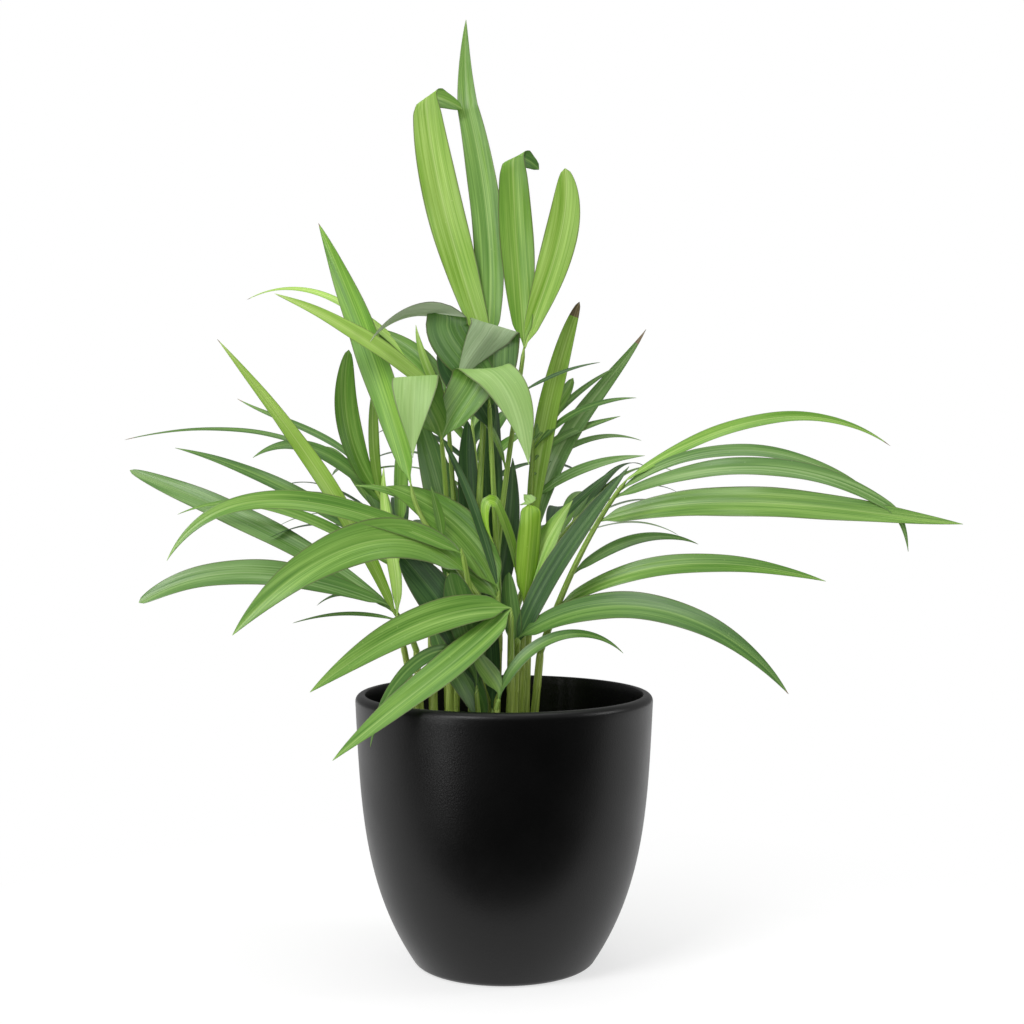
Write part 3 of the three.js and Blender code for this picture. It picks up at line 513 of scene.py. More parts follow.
def folded_side(side, before, after, roll):
    """The width direction after a fold: the crease halves the turn, and each edge stays on its own side."""
    across = turned(square_to(side, before), before, roll)
    crease = before + after
    # a leaf that turns almost straight back is creased along its own width
    line = across if np.linalg.norm(crease) < 0.2 else unit(crease)
    if np.dot(line, across) < 0:
        line = -line
    return turned(square_to(line, after), after, -roll)


def pressed(across, half, crease, away):
    """A row near a crease turns to it and takes its width: its direction, half width and flatness."""
    flat = soft_step(1 - away / FOLD_REACH)
    line = np.array(crease, float)
    half = half + (0.5 * float(np.linalg.norm(line)) - half) * flat
    line = unit(line)
    if np.dot(line, across) < 0:
        line = -line
    return unit(across + (line - across) * flat), half, flat


def leaf_rows(root, spec):
    """Rows along a leaf: centre, width direction, facing, half width, flatness, run, share and arc."""
    curves = []
    start = np.array(root, float)
    for step in spec["arcs"]:
        curves.append(curve_of(start, step))
        start = start + np.array(step["to"], float)
    lengths = [along_curve(curve, [0])[2] for curve in curves]
    total = sum(lengths)
    side = level_side(spec["arcs"][0]["to"])
    rows = []
    done = 0.0
    last_across = None
    for k, curve in enumerate(curves):
        step = spec["arcs"][k]
        own = step["roll"]
        if own:
            side = level_side(step["to"])
        before = spec["arcs"][k - 1]["crease"] if k else None
        after = step["crease"]
        count = max(FEWEST_STEPS, math.ceil(lengths[k] / ROW_STEP))
        shares = np.linspace(0, 1, count + 1)
        centres, ways, _ = along_curve(curve, shares)
        flip = 1.0
        for i, t in enumerate(shares):
            run = done + lengths[k] * t
            u = run / total
            along = ways[i]
            side = square_to(side, along)
            first, last = own or spec["roll"]
            across = turned(side, along, first + (last - first) * (t if own else u))
            half = 0.5 * spec["wide"] * width_share(spec["form"], u)
            flat = 0.0
            for crease, away in ((before, lengths[k] * t), (after, lengths[k] * (1 - t))):
                if crease and away < FOLD_REACH:
                    across, half, flat = pressed(across, half, crease, away)
            if k and i == 0 and np.dot(across, last_across) < 0:
                flip = -1.0
            across = across * flip
            if k and i == 0:
                continue
            narrow = soft_step((run + ROOT_LEAD) / ROOT_REACH)
            least = ROOT_HALF * (1 + min(run, ROOT_EASE) / ROOT_EASE) if run < ROOT_REACH else NARROWEST
            half = max(half * narrow, least)
            rows.append({
                "centre": centres[i], "across": across, "facing": square_to(np.cross(across, along), along),
                "half": half, "flat": flat, "run": run, "u": u, "arc": k,
            })
        last_across = rows[-1]["across"]
        if k + 1 < len(curves):
            ahead = along_curve(curves[k + 1], [0])[1][0]
            if np.dot(ways[-1], ahead) < FOLD_COSINE:
                first, last = spec["roll"]
                roll = first + (last - first) * (done + lengths[k]) / total
                side = folded_side(side, ways[-1], ahead, roll)
        done += lengths[k]
    return rows


def leaf_sheet(root, spec, seed):
    """One leaf as a thin pleated sheet: its points, faces and face tones, the grain that its streaks follow,
    and the place of each point: across from -1 to 1, along from 0 to 1, and in pleats.
    """
    rows = leaf_rows(root, spec)
    pleats = max(2, 2 * round(spec["wide"] / PLEAT_WIDTH / 2))
    columns = pleats * PLEAT_COLUMNS + 1
    x = np.linspace(-1, 1, columns)
    half, flat, run, u = (
        np.array([row[key] for row in rows])[:, None] for key in ("half", "flat", "run", "u")
    )
    centre, across, facing = (
        np.array([row[key] for row in rows]) for key in ("centre", "across", "facing")
    )

    # a shallow keel, pleats that grow with the width, and a slow wave of both edges that starts at the root
    keel = -KEEL * half * (1 - np.abs(x)) * (1 - flat)
    pleat = PLEAT_DEPTH * half / pleats * np.cos(math.pi * pleats * x) * (1 - np.abs(x) ** 6)
    sway = np.sin(run / WAVE_LENGTH + WAVE_PHASE * wobble(seed + 0.3) + WAVE_LAG * np.sign(x))
    wave = EDGE_WAVE * half * np.sign(x) * x ** 2 * sway
    lift = (keel + pleat + wave * np.minimum(1, u * WAVE_GROWTH)) * soft_step(half / FLAT_BELOW)
    grid = centre[:, None] + across[:, None] * (half * x)[..., None] + facing[:, None] * lift[..., None]

    # the fold is rounded by easing the rows beside it
    for i, row in enumerate(rows[:-1]):
        if rows[i + 1]["arc"] != row["arc"] and spec["arcs"][row["arc"]]["crease"]:
            low, high = max(1, i - FOLD_ROWS), min(len(rows) - 2, i + FOLD_ROWS)
            for _ in range(FOLD_SOFTEN):
                eased = (grid[low - 1:high] + 2 * grid[low:high + 1] + grid[low + 1:high + 2]) / 4
                grid[low:high + 1] = eased

    normal = np.cross(np.gradient(grid, axis=1), np.gradient(grid, axis=0))
    size = np.linalg.norm(normal, axis=2)[..., None]
    normal = np.where(size > 1e-6, normal / np.maximum(size, 1e-6), facing[:, None])
    rim = np.ones(grid.shape[:2], bool)
    rim[1:-1, 1:-1] = False
    offset = np.where(rim[..., None], 0, normal * LEAF_THICK / 2)

    count = grid.shape[0] * columns
    upper = np.arange(count).reshape(grid.shape[:2])
    lower = upper.copy()
    lower[~rim] = count + np.arange(int((~rim).sum()))
    points = np.concatenate([(grid + offset).reshape(-1, 3), (grid - offset)[~rim]])
    top = np.stack([upper[:-1, :-1], upper[:-1, 1:], upper[1:, 1:], upper[1:, :-1]], axis=-1).reshape(-1, 4)
    under = np.stack([lower[:-1, :-1], lower[1:, :-1], lower[1:, 1:], lower[:-1, 1:]], axis=-1).reshape(-1, 4)

    # the face that looks up and forward on the first arc has the leaf's first tone
    tones = spec["tone"] if isinstance(spec["tone"], tuple) else (spec["tone"], spec["tone"])
    first = [i for i, row in enumerate(rows) if row["arc"] == 0]
    if float(np.mean(normal[first] @ UPPER_SIDE)) < 0:
        tones = tones[::-1]
    tone = [tones[0]] * len(top) + [tones[1]] * len(under)
    if spec["tip"]:
        place, colour = spec["tip"]
        row_of = np.tile(np.repeat(np.arange(grid.shape[0] - 1), columns - 1), 2)
        tone = [colour if u[row_of[n], 0] > place else t for n, t in enumerate(tone)]

    def both(values):
        """Values of the upper points and then of the lower ones."""
        values = np.broadcast_to(values, grid.shape[:2])
        return np.concatenate([values.reshape(-1), values[~rim]])

    grain = np.stack([both(x * half), both(run), both(np.full((1, 1), 10.0 * seed))], axis=-1)
    place = np.stack([both(x[None]), both(u), both(pleats * x[None])], axis=-1)
    return points, np.concatenate([top, under]), tone, grain, place


def tube(points, radii, sides, ripple=0.0):
    """A closed round tube through points, with its grain: round the tube, and along it in millimetres.

    A ripple, as a share of the radius, raises a rib for every three sides.
    """
    points = np.asarray(points, float)
    ways = np.gradient(points, axis=0)
    ways /= np.linalg.norm(ways, axis=1)[:, None]
    side = square_to(np.array([1.0, 0.2, 0.1]), ways[0])
    run = np.concatenate([[0], np.cumsum(np.linalg.norm(np.diff(points, axis=0), axis=1))])
    rings, grain = [], []
    for i, (centre, along, radius) in enumerate(zip(points, ways, radii, strict=True)):
        side = square_to(side, along)
        other = np.cross(along, side)
        for j in range(sides):
            turn = 2 * math.pi * j / sides
            out = radius * (1 + ripple * math.cos(turn * sides / 3))
            rings.append(centre + out * (side * math.cos(turn) + other * math.sin(turn)))
            grain.append((turn * radius, run[i], 0))
    faces = []
    for i in range(len(points) - 1):
        for j in range(sides):
            a, b = i * sides + j, i * sides + (j + 1) % sides
            faces.append((a, b, b + sides, a + sides))
    last = (len(points) - 1) * sides
    faces.append(tuple(range(sides - 1, -1, -1)))
    faces.append(tuple(range(last, last + sides)))
    return np.array(rings), faces, np.array(grain)


def add_piece(name, points, faces, materials, face_material=None, fields=None, sharp=None):
    """A mesh object at the origin, its points in millimetres of the frame."""
    mesh = bpy.data.meshes.new(name)
    mesh.from_pydata((np.asarray(points) * MM).tolist(), [], [tuple(int(i) for i in f) for f in faces])
    for material in materials:
        mesh.materials.append(material)
    if face_material is not None:
        mesh.polygons.foreach_set("material_index", np.asarray(face_material, dtype=np.int32))
    for field, values in (fields or {}).items():
        made = mesh.attributes.new(field, "FLOAT_VECTOR", "POINT")
        made.data.foreach_set("vector", np.asarray(values, dtype=np.float32).reshape(-1))
    mesh.polygons.foreach_set("use_smooth", [True] * len(mesh.polygons))
    if sharp:
        mesh.set_sharp_from_angle(angle=math.radians(sharp))
    mesh.update()
    piece = bpy.data.objects.new(name, mesh)
    bpy.context.collection.objects.link(piece)
    return piece


# Finishes


def linear(code):
    """An sRGB hex colour as Blender's linear one."""
    parts = [int(code[i:i + 2], 16) / 255 for i in (0, 2, 4)]
    return tuple(c / 12.92 if c <= 0.04045 else ((c + 0.055) / 1.055) ** 2.4 for c in parts) + (1.0,)


def add(tree, kind, inputs=None, stops=(), **settings):
    """Adds a node with its settings, sets or links its inputs, and places a ramp's colours."""
    made = tree.nodes.new("ShaderNode" + kind)
    for name, value in settings.items():
        setattr(made, name, value)
    for key, value in (inputs or {}).items():
        if isinstance(value, bpy.types.NodeSocket):
            tree.links.new(value, made.inputs[key])
        else:
            made.inputs[key].default_value = value
    for i, (place, colour) in enumerate(stops):
        if i == len(made.color_ramp.elements):
            made.color_ramp.elements.new(1.0)
        made.color_ramp.elements[i].position = place
        made.color_ramp.elements[i].color = linear(colour)
    return made


def start_material(name):
    """A material with an empty tree, and that tree."""
    material = bpy.data.materials.new(name)
    material.use_nodes = True
    material.node_tree.nodes.clear()
    return material, material.node_tree


def end_material(tree, inputs):
    """The surface shader that a material ends in."""
    shader = add(tree, "BsdfPrincipled", inputs)
    add(tree, "OutputMaterial", {"Surface": shader.outputs[0]})


def streaks(tree, across, along, detail):
    """A pattern drawn out along the grain: its spacing across and along in millimetres."""
    grain = add(tree, "Attribute", attribute_name="grain").outputs["Vector"]
    closer = (1 / across, 1 / along, 1.0)
    drawn = add(tree, "VectorMath", {0: grain, 1: closer}, operation="MULTIPLY").outputs[0]
    noise = add(tree, "TexNoise", {"Vector": drawn, "Scale": 1.0, "Detail": detail, "Roughness": 0.55})
    return noise.outputs["Fac"]


# Leaf skin. Places across are shares of the half width, widths and spacings are in millimetres.
VEIN_SPACING = 0.7
VEIN_LENGTH = 90
BAND_SPACING = 5.0
BAND_LENGTH = 70
BAND_SHARE = 0.4
MARGIN_FROM = 0.45
MARGIN_SHADE = 0.55
DRY_EDGE_FROM = 0.92
DRY_EDGE_FULL = 0.97
DRY_EDGE_SHADE = 0.75
DRY_EDGE_COLOUR = "5e6040"
MIDRIB_CORE = 0.15
MIDRIB_HALF = 0.5
MIDRIB_LIGHT = 0.32
RIDGE_FROM = 0.94
RIDGE_LIGHT = 0.1
FLECK_SPACING = 2.2
FLECK_FROM = 0.74
FLECK_FULL = 0.8
FLECK_LIGHT = 0.25
WAX_IOR = 1.45
SKIN_RELIEF = 0.4 * MM


def leaf_material(name, dark, main, light, rib, gloss):
    """Palm leaf: a waxy sheet with parallel veins, so it has fine lengthwise streaks and a soft sheen.

    A colour Mix node takes its share at socket 0 and its two colours at sockets 6 and 7.
    """
    material, tree = start_material(name)
    veins = streaks(tree, across=VEIN_SPACING, along=VEIN_LENGTH, detail=3.0)
    bands = streaks(tree, across=BAND_SPACING, along=BAND_LENGTH, detail=1.0)
    share = add(tree, "Mix", {0: BAND_SHARE, 2: veins, 3: bands}, data_type="FLOAT").outputs[0]
    stops = ((0.36, dark), (0.5, main), (0.64, light))
    skin = add(tree, "ValToRGB", {"Fac": share}, stops=stops).outputs[0]
    place = add(tree, "Attribute", attribute_name="place").outputs["Vector"]
    place = add(tree, "SeparateXYZ", {0: place}).outputs
    # the margins are darker, with a thin dry line right at the edge
    out = add(tree, "Math", {0: place[0]}, operation="ABSOLUTE").outputs[0]
    margin = add(tree, "MapRange", {
        "Value": out, "From Min": MARGIN_FROM, "From Max": 1.0, "To Min": 0.0, "To Max": MARGIN_SHADE,
    }).outputs[0]
    skin = add(tree, "Mix", {0: margin, 6: skin, 7: linear(dark)}, data_type="RGBA").outputs[2]
    edge = add(tree, "MapRange", {
        "Value": out, "From Min": DRY_EDGE_FROM, "From Max": DRY_EDGE_FULL,
        "To Min": 0.0, "To Max": DRY_EDGE_SHADE,
    }).outputs[0]
    skin = add(tree, "Mix", {0: edge, 6: skin, 7: linear(DRY_EDGE_COLOUR)}, data_type="RGBA").outputs[2]
    # the midrib is a pale line about a millimetre wide
    grain = add(tree, "Attribute", attribute_name="grain").outputs["Vector"]
    aside = add(tree, "SeparateXYZ", {0: grain}).outputs[0]
    aside = add(tree, "Math", {0: aside}, operation="ABSOLUTE").outputs[0]
    midrib = add(tree, "MapRange", {
        "Value": aside, "From Min": MIDRIB_CORE, "From Max": MIDRIB_HALF,
        "To Min": MIDRIB_LIGHT, "To Max": 0.0,
    }).outputs[0]
    # every pleat carries one faint vein on its ridge
    turn = add(tree, "Math", {0: place[2], 1: math.pi}, operation="MULTIPLY").outputs[0]
    ridge = add(tree, "Math", {0: turn}, operation="COSINE").outputs[0]
    vein = add(tree, "MapRange", {
        "Value": ridge, "From Min": RIDGE_FROM, "From Max": 1.0, "To Min": 0.0, "To Max": RIDGE_LIGHT,
    }).outputs[0]
    # small pale flecks, a millimetre or so across
    specks = add(tree, "TexNoise", {"Vector": grain, "Scale": 1 / FLECK_SPACING, "Detail": 1.0})
    fleck = add(tree, "MapRange", {
        "Value": specks.outputs["Fac"], "From Min": FLECK_FROM, "From Max": FLECK_FULL,
        "To Min": 0.0, "To Max": FLECK_LIGHT,
    }).outputs[0]
    pale = add(tree, "Math", {0: midrib, 1: vein}, operation="MAXIMUM").outputs[0]
    pale = add(tree, "Math", {0: pale, 1: fleck}, operation="MAXIMUM").outputs[0]
    skin = add(tree, "Mix", {0: pale, 6: skin, 7: linear(rib)}, data_type="RGBA").outputs[2]
    bump = add(tree, "Bump", {"Height": bands, "Strength": 0.3, "Distance": SKIN_RELIEF}).outputs[0]
    end_material(tree, {
        "Base Color": skin, "Roughness": gloss, "IOR": WAX_IOR, "Specular IOR Level": 0.5, "Normal": bump,
    })
    return material


def stalk_material(name, dark, main, light, across, gloss):
    """Palm stalk: smooth and fleshy with fine fibres along it, a little waxy."""
    material, tree = start_material(name)
    fibres = streaks(tree, across=across, along=60, detail=3.0)
    stops = ((0.34, dark), (0.5, main), (0.66, light))
    skin = add(tree, "ValToRGB", {"Fac": fibres}, stops=stops).outputs[0]
    bump = add(tree, "Bump", {"Height": fibres, "Strength": 0.3, "Distance": SKIN_RELIEF}).outputs[0]
    end_material(tree, {"Base Color": skin, "Roughness": gloss, "IOR": WAX_IOR, "Normal": bump})
    return material


# Each leaf skin: the dark, middle and light of its streaks, its midrib and flecks, and its roughness. The
# tones are partly the leaves' own greens and partly painted light and shade: the darker tones stand in part
# for the shade deep in the crown, and some leaves that lie in shade carry a lighter tone as painted light.
LEAF_TONES = {
    "bright": leaf_material("areca leaf bright", "7eae34", "9cc454", "b8dc70", "d8ec98", 0.4),
    "vivid": leaf_material("areca leaf vivid", "8cbc3c", "aad25e", "c4e67c", "e0f0a4", 0.4),
    "fresh": leaf_material("areca leaf fresh", "649630", "82b044", "a2ca60", "c8de88", 0.36),
    "mid": leaf_material("areca leaf mid", "54842c", "709c3e", "90b858", "b6d27c", 0.36),
    "grey": leaf_material("areca leaf greyed", "4e7a36", "6c944a", "8eb06c", "b0c690", 0.34),
    "olive": leaf_material("areca leaf olive", "588a28", "76a83a", "96c450", "b8d870", 0.42),
    "deep": leaf_material("areca leaf deep", "3e6828", "547e34", "709848", "94b264", 0.4),
    # painted shade: the darkest tone, for leaves that lie in the shade deep in the crown and for the blades
    # that fill its dark
    "shade": leaf_material("areca leaf painted shade", "284a22", "3a602e", "50763a", "709252", 0.5),
    "pale": leaf_material("areca leaf underside", "8aa676", "9cb286", "aac296", "c0d4ac", 0.5),
    # painted light: a pale tone on the under side of a folded flap that faces down into shade
    "silver": leaf_material("areca leaf flap with painted light", "c2d6ae", "d2e2c0", "deeace", "e8f2dc", 0.5),
    "soft": leaf_material("areca leaf folded", "88b05c", "96ba6a", "a6c87c", "c0dc96", 0.46),
    "shoot": leaf_material("areca leaf new", "70a022", "88b632", "a6d04c", "cce478", 0.4),
    "lime": leaf_material("areca leaf young", "90b834", "aad24c", "c0e064", "dce884", 0.42),
    "brown": leaf_material("areca leaf dry tip", "64543e", "847254", "a29070", "b4a488", 0.6),
}
STALK = stalk_material("areca petiole", "6f9036", "8cac48", "a8c462", across=0.9, gloss=0.4)
# the cane's greens are paler than the stalk's, partly the canes' own colour and partly painted light, since
# they stand in the shade of the pot and the crown
CANE = stalk_material("areca cane with painted light", "7c9638", "9cb44e", "b8cc72", across=1.2, gloss=0.42)

# Glaze and soil. The glaze's pebbled skin is drawn coarser than life, so that it shows.
PEBBLE_SPACING = 0.9 * MM
PEBBLE_RELIEF = 0.15 * MM
CLOUD_SPACING = 40 * MM
GLAZE_GLOSS = (0.33, 0.4)
CRUMB_SPACING = 3 * MM
CRUMB_RELIEF = 1 * MM


def pot_material():
    """Glazed stoneware: a black satin glaze with a fine pebbled skin that softens what it reflects."""
    material, tree = start_material("black satin glaze")
    place = add(tree, "TexCoord").outputs["Object"]
    pebble = add(tree, "TexNoise", {"Vector": place, "Scale": 1 / PEBBLE_SPACING, "Detail": 2.0})
    cloud = add(tree, "TexNoise", {"Vector": place, "Scale": 1 / CLOUD_SPACING, "Detail": 3.0})
    pebble, cloud = pebble.outputs["Fac"], cloud.outputs["Fac"]
    tint = add(tree, "ValToRGB", {"Fac": cloud}, stops=((0.3, "060606"), (0.7, "0a0a0a"))).outputs[0]
    gloss = add(tree, "MapRange", {
        "Value": cloud, "From Min": 0.3, "From Max": 0.7, "To Min": GLAZE_GLOSS[0], "To Max": GLAZE_GLOSS[1],
    }).outputs[0]
    bump = add(tree, "Bump", {"Height": pebble, "Strength": 0.5, "Distance": PEBBLE_RELIEF}).outputs[0]
    end_material(tree, {
        "Base Color": tint, "Roughness": gloss, "IOR": 1.45, "Specular IOR Level": 0.36, "Normal": bump,
    })
    return material


def soil_material(name, dark, main, light):
    """Potting soil: dark damp peat of fibres and crumbs, with no gloss."""
    material, tree = start_material(name)
    place = add(tree, "TexCoord").outputs["Object"]
    crumbs = add(tree, "TexNoise", {
        "Vector": place, "Scale": 1 / CRUMB_SPACING, "Detail": 6.0, "Roughness": 0.7,
    }).outputs["Fac"]
    stops = ((0.35, dark), (0.5, main), (0.68, light))
    tint = add(tree, "ValToRGB", {"Fac": crumbs}, stops=stops).outputs[0]
    bump = add(tree, "Bump", {"Height": crumbs, "Strength": 0.8, "Distance": CRUMB_RELIEF}).outputs[0]
    end_material(tree, {"Base Color": tint, "Roughness": 0.95, "IOR": 1.4, "Normal": bump})
    return material


# Plant


def build_cane(name, foot, top, radius):
    """A cane with leaf-scar rings and a slight swelling at each, closing on the stalk that it carries."""
    start = np.array([foot[0], foot[1], SOIL_LEVEL - CANE_SUNK])
    end = np.array(top, float)
    length = float(np.linalg.norm(end - start))
    seed = sum(ord(c) for c in name) % 97
    spacing = NODE_SPACING * (1 + NODE_STRAY * wobble(seed))
    count = math.ceil(length / CANE_STEP)
    points, radii = [], []
    for i in range(count + 1):
        run = length * i / count
        u = run / length
        size = radius[0] + (radius[1] - radius[0]) * u
        above = (run - CANE_SUNK) % spacing
        scar = math.exp(-((min(above, spacing - above) / SCAR_WIDTH) ** 2)) if run > CANE_SUNK else 0
        sheath = SHEATH_SWELL * (1 - above / spacing)
        base = BASE_SWELL * math.exp(-max(run - CANE_SUNK, 0) / BASE_REACH)
        close = 1 - CANE_CLOSE * soft_step((run - (length - CLOSE_REACH)) / CLOSE_REACH)
        points.append(start + (end - start) * u)
        radii.append(size * (1 + SCAR_SWELL * scar + sheath + base) * close)
    points, faces, grain = tube(points, radii, CANE_SIDES, ripple=CANE_RIPPLE)
    grain[:, 2] = seed
    return add_piece(name + "_relief", points, faces, [CANE], fields={"grain": grain}, sharp=55)


def build_frond(name, spec, seed):
    """A frond's stalk, sunk a little into its cane, and its leaves as one piece."""
    foot = np.array(CANES[spec["cane"]][1], float)
    foot[2] += JOINT_GAP
    curve = curve_of(foot, spec["stalk"])
    length = along_curve(curve, [0])[2]
    shares = np.linspace(0, 1, max(FEWEST_STEPS, math.ceil(length / STALK_STEP)) + 1)
    centres, ways, _ = along_curve(curve, shares)
    radii = spec["thick"][0] + (spec["thick"][1] - spec["thick"][0]) * shares
    radii[-1] *= STALK_TIP
    sunk = centres[0] - ways[0] * STALK_SUNK
    points, faces, grain = tube(np.vstack([sunk, centres]), np.concatenate([[radii[0]], radii]), STALK_SIDES)
    grain[:, 2] = seed
    stalk = add_piece(name + "_stalk", points, faces, [STALK], fields={"grain": grain}, sharp=55)

    points, faces, tones, grains, places = [], [], [], [], []
    count = 0
    for n, one in enumerate(spec["leaves"]):
        root = along_curve(curve, [one["at"]])[0][0]
        sheet, sheet_faces, tone, grain, place = leaf_sheet(root, one, seed + 0.37 * n)
        points.append(sheet)
        faces.append(sheet_faces + count)
        tones += tone
        grains.append(grain)
        places.append(place)
        count += len(sheet)
    used = sorted(set(tones))
    leaves = add_piece(
        name + "_leaves", np.concatenate(points), np.concatenate(faces), [LEAF_TONES[t] for t in used],
        face_material=[used.index(t) for t in tones],
        fields={"grain": np.concatenate(grains), "place": np.concatenate(places)}, sharp=70,
    )
    return stalk, leaves


for name, (foot, top, radius) in CANES.items():
    piece = build_cane(name, foot, top, radius)
    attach(piece, "root")
    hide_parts(name)

for n, (name, spec) in enumerate({**FRONDS, **FEATHERS}.items()):
    stalk, leaves = build_frond(name, spec, 1 + n)
    for piece in (stalk, leaves):
        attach(piece, "root")
        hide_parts(name)


# Pot and soil


def outer_radius(z):
    """The pot's outer wall: a slight draught all the way down, and a tuck towards the foot."""
    drop = min(1.0, max(0.0, (POT_HEIGHT - z) / POT_HEIGHT))
    return RIM_RADIUS - DRAUGHT * drop - TUCK * drop ** TUCK_POWER


def pot_profile():
    """Radius and height round the wall, from the middle of the underside out, up and down to the inside."""
    profile = [(0.0, 0.0)]
    for i in range(FOOT_STEPS):
        turn = (i / FOOT_STEPS) * (math.pi / 2)
        z = FOOT_ROUND * (1 - math.cos(turn))
        profile.append((outer_radius(z) - FOOT_ROUND * (1 - math.sin(turn)), z))
    shoulder = POT_HEIGHT - RIM_ROUND
    for i in range(WALL_STEPS + 1):
        z = FOOT_ROUND + (shoulder - FOOT_ROUND) * i / WALL_STEPS
        profile.append((outer_radius(z), z))
    for i in range(1, RIM_STEPS + 1):
        turn = (i / RIM_STEPS) * (math.pi / 2)
        back = RIM_ROUND * (1 - math.cos(turn))
        profile.append((outer_radius(shoulder) - back, shoulder + RIM_ROUND * math.sin(turn)))
    inner = outer_radius(POT_HEIGHT) - WALL
    for i in range(LIP_STEPS):
        turn = (i / LIP_STEPS) * (math.pi / 2)
        z = POT_HEIGHT - LIP_EDGE * (1 - math.cos(turn))
        profile.append((inner + LIP_EDGE * (1 - math.sin(turn)), z))
    for i in range(INNER_STEPS + 1):
        z = POT_HEIGHT - LIP_EDGE - (POT_HEIGHT - LIP_EDGE - FLOOR) * i / INNER_STEPS
        profile.append((outer_radius(z) - WALL, z))
    profile.append((0.0, float(FLOOR)))
    return profile


def lathe(profile, sides):
    """A closed body turned about the upright axis from a profile that starts and ends on it."""
    points = [(0, 0, profile[0][1])]
    for radius, z in profile[1:-1]:
        for j in range(sides):
            turn = 2 * math.pi * j / sides
            points.append((radius * math.cos(turn), radius * math.sin(turn), z))
    points.append((0, 0, profile[-1][1]))
    rings = len(profile) - 2
    faces = []
    for j in range(sides):
        k = (j + 1) % sides
        faces.append((0, 1 + k, 1 + j))
        for i in range(rings - 1):
            a = 1 + i * sides
            faces.append((a + j, a + k, a + sides + k, a + sides + j))
        a = 1 + (rings - 1) * sides
        faces.append((a + j, a + k, len(points) - 1))
    return points, faces


points, faces = lathe(pot_profile(), POT_SIDES)
pot = add_piece("pot_glazed", points, faces, [pot_material()], sharp=50)
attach(pot, "root")
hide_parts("pot")


def soil_bed(random, radius):
    """The bed of soil: an uneven top, and a plain skirt and underside below it."""
    points, faces = [(0, 0, SOIL_LEVEL - SOIL_MIDDLE)], []
    for i in range(1, SOIL_RINGS + 1):
        for j in range(SOIL_SIDES):
            turn = 2 * math.pi * j / SOIL_SIDES
            reach = radius * i / SOIL_RINGS
            dip = math.sin(reach / DIP_LENGTHS[0] + 2 * turn) * math.cos(reach / DIP_LENGTHS[1] - 3 * turn)
            fall = SOIL_FALL - SOIL_DIP * dip - random.uniform(-SOIL_ROUGH, SOIL_ROUGH)
            z = SOIL_LEVEL - max(fall, SOIL_LEAST_FALL)
            points.append((reach * math.cos(turn), reach * math.sin(turn), z))
    for j in range(SOIL_SIDES):
        k = (j + 1) % SOIL_SIDES
        faces.append((0, 1 + j, 1 + k))
        for i in range(SOIL_RINGS - 1):
            a = 1 + i * SOIL_SIDES
            faces.append((a + j, a + SOIL_SIDES + j, a + SOIL_SIDES + k, a + k))
    rim = 1 + (SOIL_RINGS - 1) * SOIL_SIDES
    low = len(points)
    for j in range(SOIL_SIDES):
        turn = 2 * math.pi * j / SOIL_SIDES
        points.append((radius * math.cos(turn), radius * math.sin(turn), SOIL_LEVEL - SOIL_DEEP))
    for j in range(SOIL_SIDES):
        k = (j + 1) % SOIL_SIDES
        faces.append((rim + j, low + j, low + k, rim + k))
    faces.append(tuple(low + j for j in range(SOIL_SIDES - 1, -1, -1)))
    return points, faces


def soil_bit(random, centre, size, squash):
    """The six points of one rough lump, with its four corners level and its height half its width."""
    twist = random.uniform(0, math.pi)
    points = []
    for px, py, pz in ((1, 0, 0), (0, 1, 0), (-1, 0, 0), (0, -1, 0), (0, 0, 1), (0, 0, -1)):
        rough = size * random.uniform(*BIT_ROUGH)
        x = px * math.cos(twist) - py * math.sin(twist) * squash
        y = px * math.sin(twist) + py * math.cos(twist) * squash
        points.append((centre[0] + rough * x, centre[1] + rough * y, centre[2] + 0.5 * rough * pz))
    return points


def build_soil():
    """Loose soil: an uneven bed with crumbs, bark and perlite pressed into it."""
    random = np.random.default_rng(SOIL_SEED)
    radius = outer_radius(SOIL_LEVEL) - WALL - SOIL_GAP
    points, faces = soil_bed(random, radius)
    finish = [0] * len(faces)
    for count, smallest, largest, squash, kind in SOIL_BITS:
        for _ in range(count):
            reach = (radius - BIT_INSET) * math.sqrt(random.uniform(0, 1))
            turn = random.uniform(0, 2 * math.pi)
            size = random.uniform(smallest, largest)
            centre = (reach * math.cos(turn), reach * math.sin(turn), SOIL_LEVEL - BIT_SUNK)
            low = len(points)
            points += soil_bit(random, centre, size, squash)
            for a, b in ((0, 1), (1, 2), (2, 3), (3, 0)):
                faces += [(low + a, low + b, low + 4), (low + b, low + a, low + 5)]
                finish += [kind, kind]
    finishes = [
        soil_material("peat soil", "1c140e", "2a1f16", "3a2c20"),
        soil_material("peat crumbs", "20160f", "33251a", "463426"),
        soil_material("bark chips", "3a2718", "523823", "6b4c31"),
        soil_material("perlite", "b9b4a8", "d2cec4", "e6e3db"),
    ]
    return add_piece("soil_surface", points, faces, finishes, face_material=finish, sharp=40)


soil = build_soil()
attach(soil, "root")
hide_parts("soil")


# Stage, light and camera, in metres

FLOOR_SIDE = 4
FLOOR_FRONT = 0.125
FLOOR_BACK = 6
SHADOW_FROM = 0.1
SHADOW_TO = 0.4
SHADOW_GLOW = 0.66


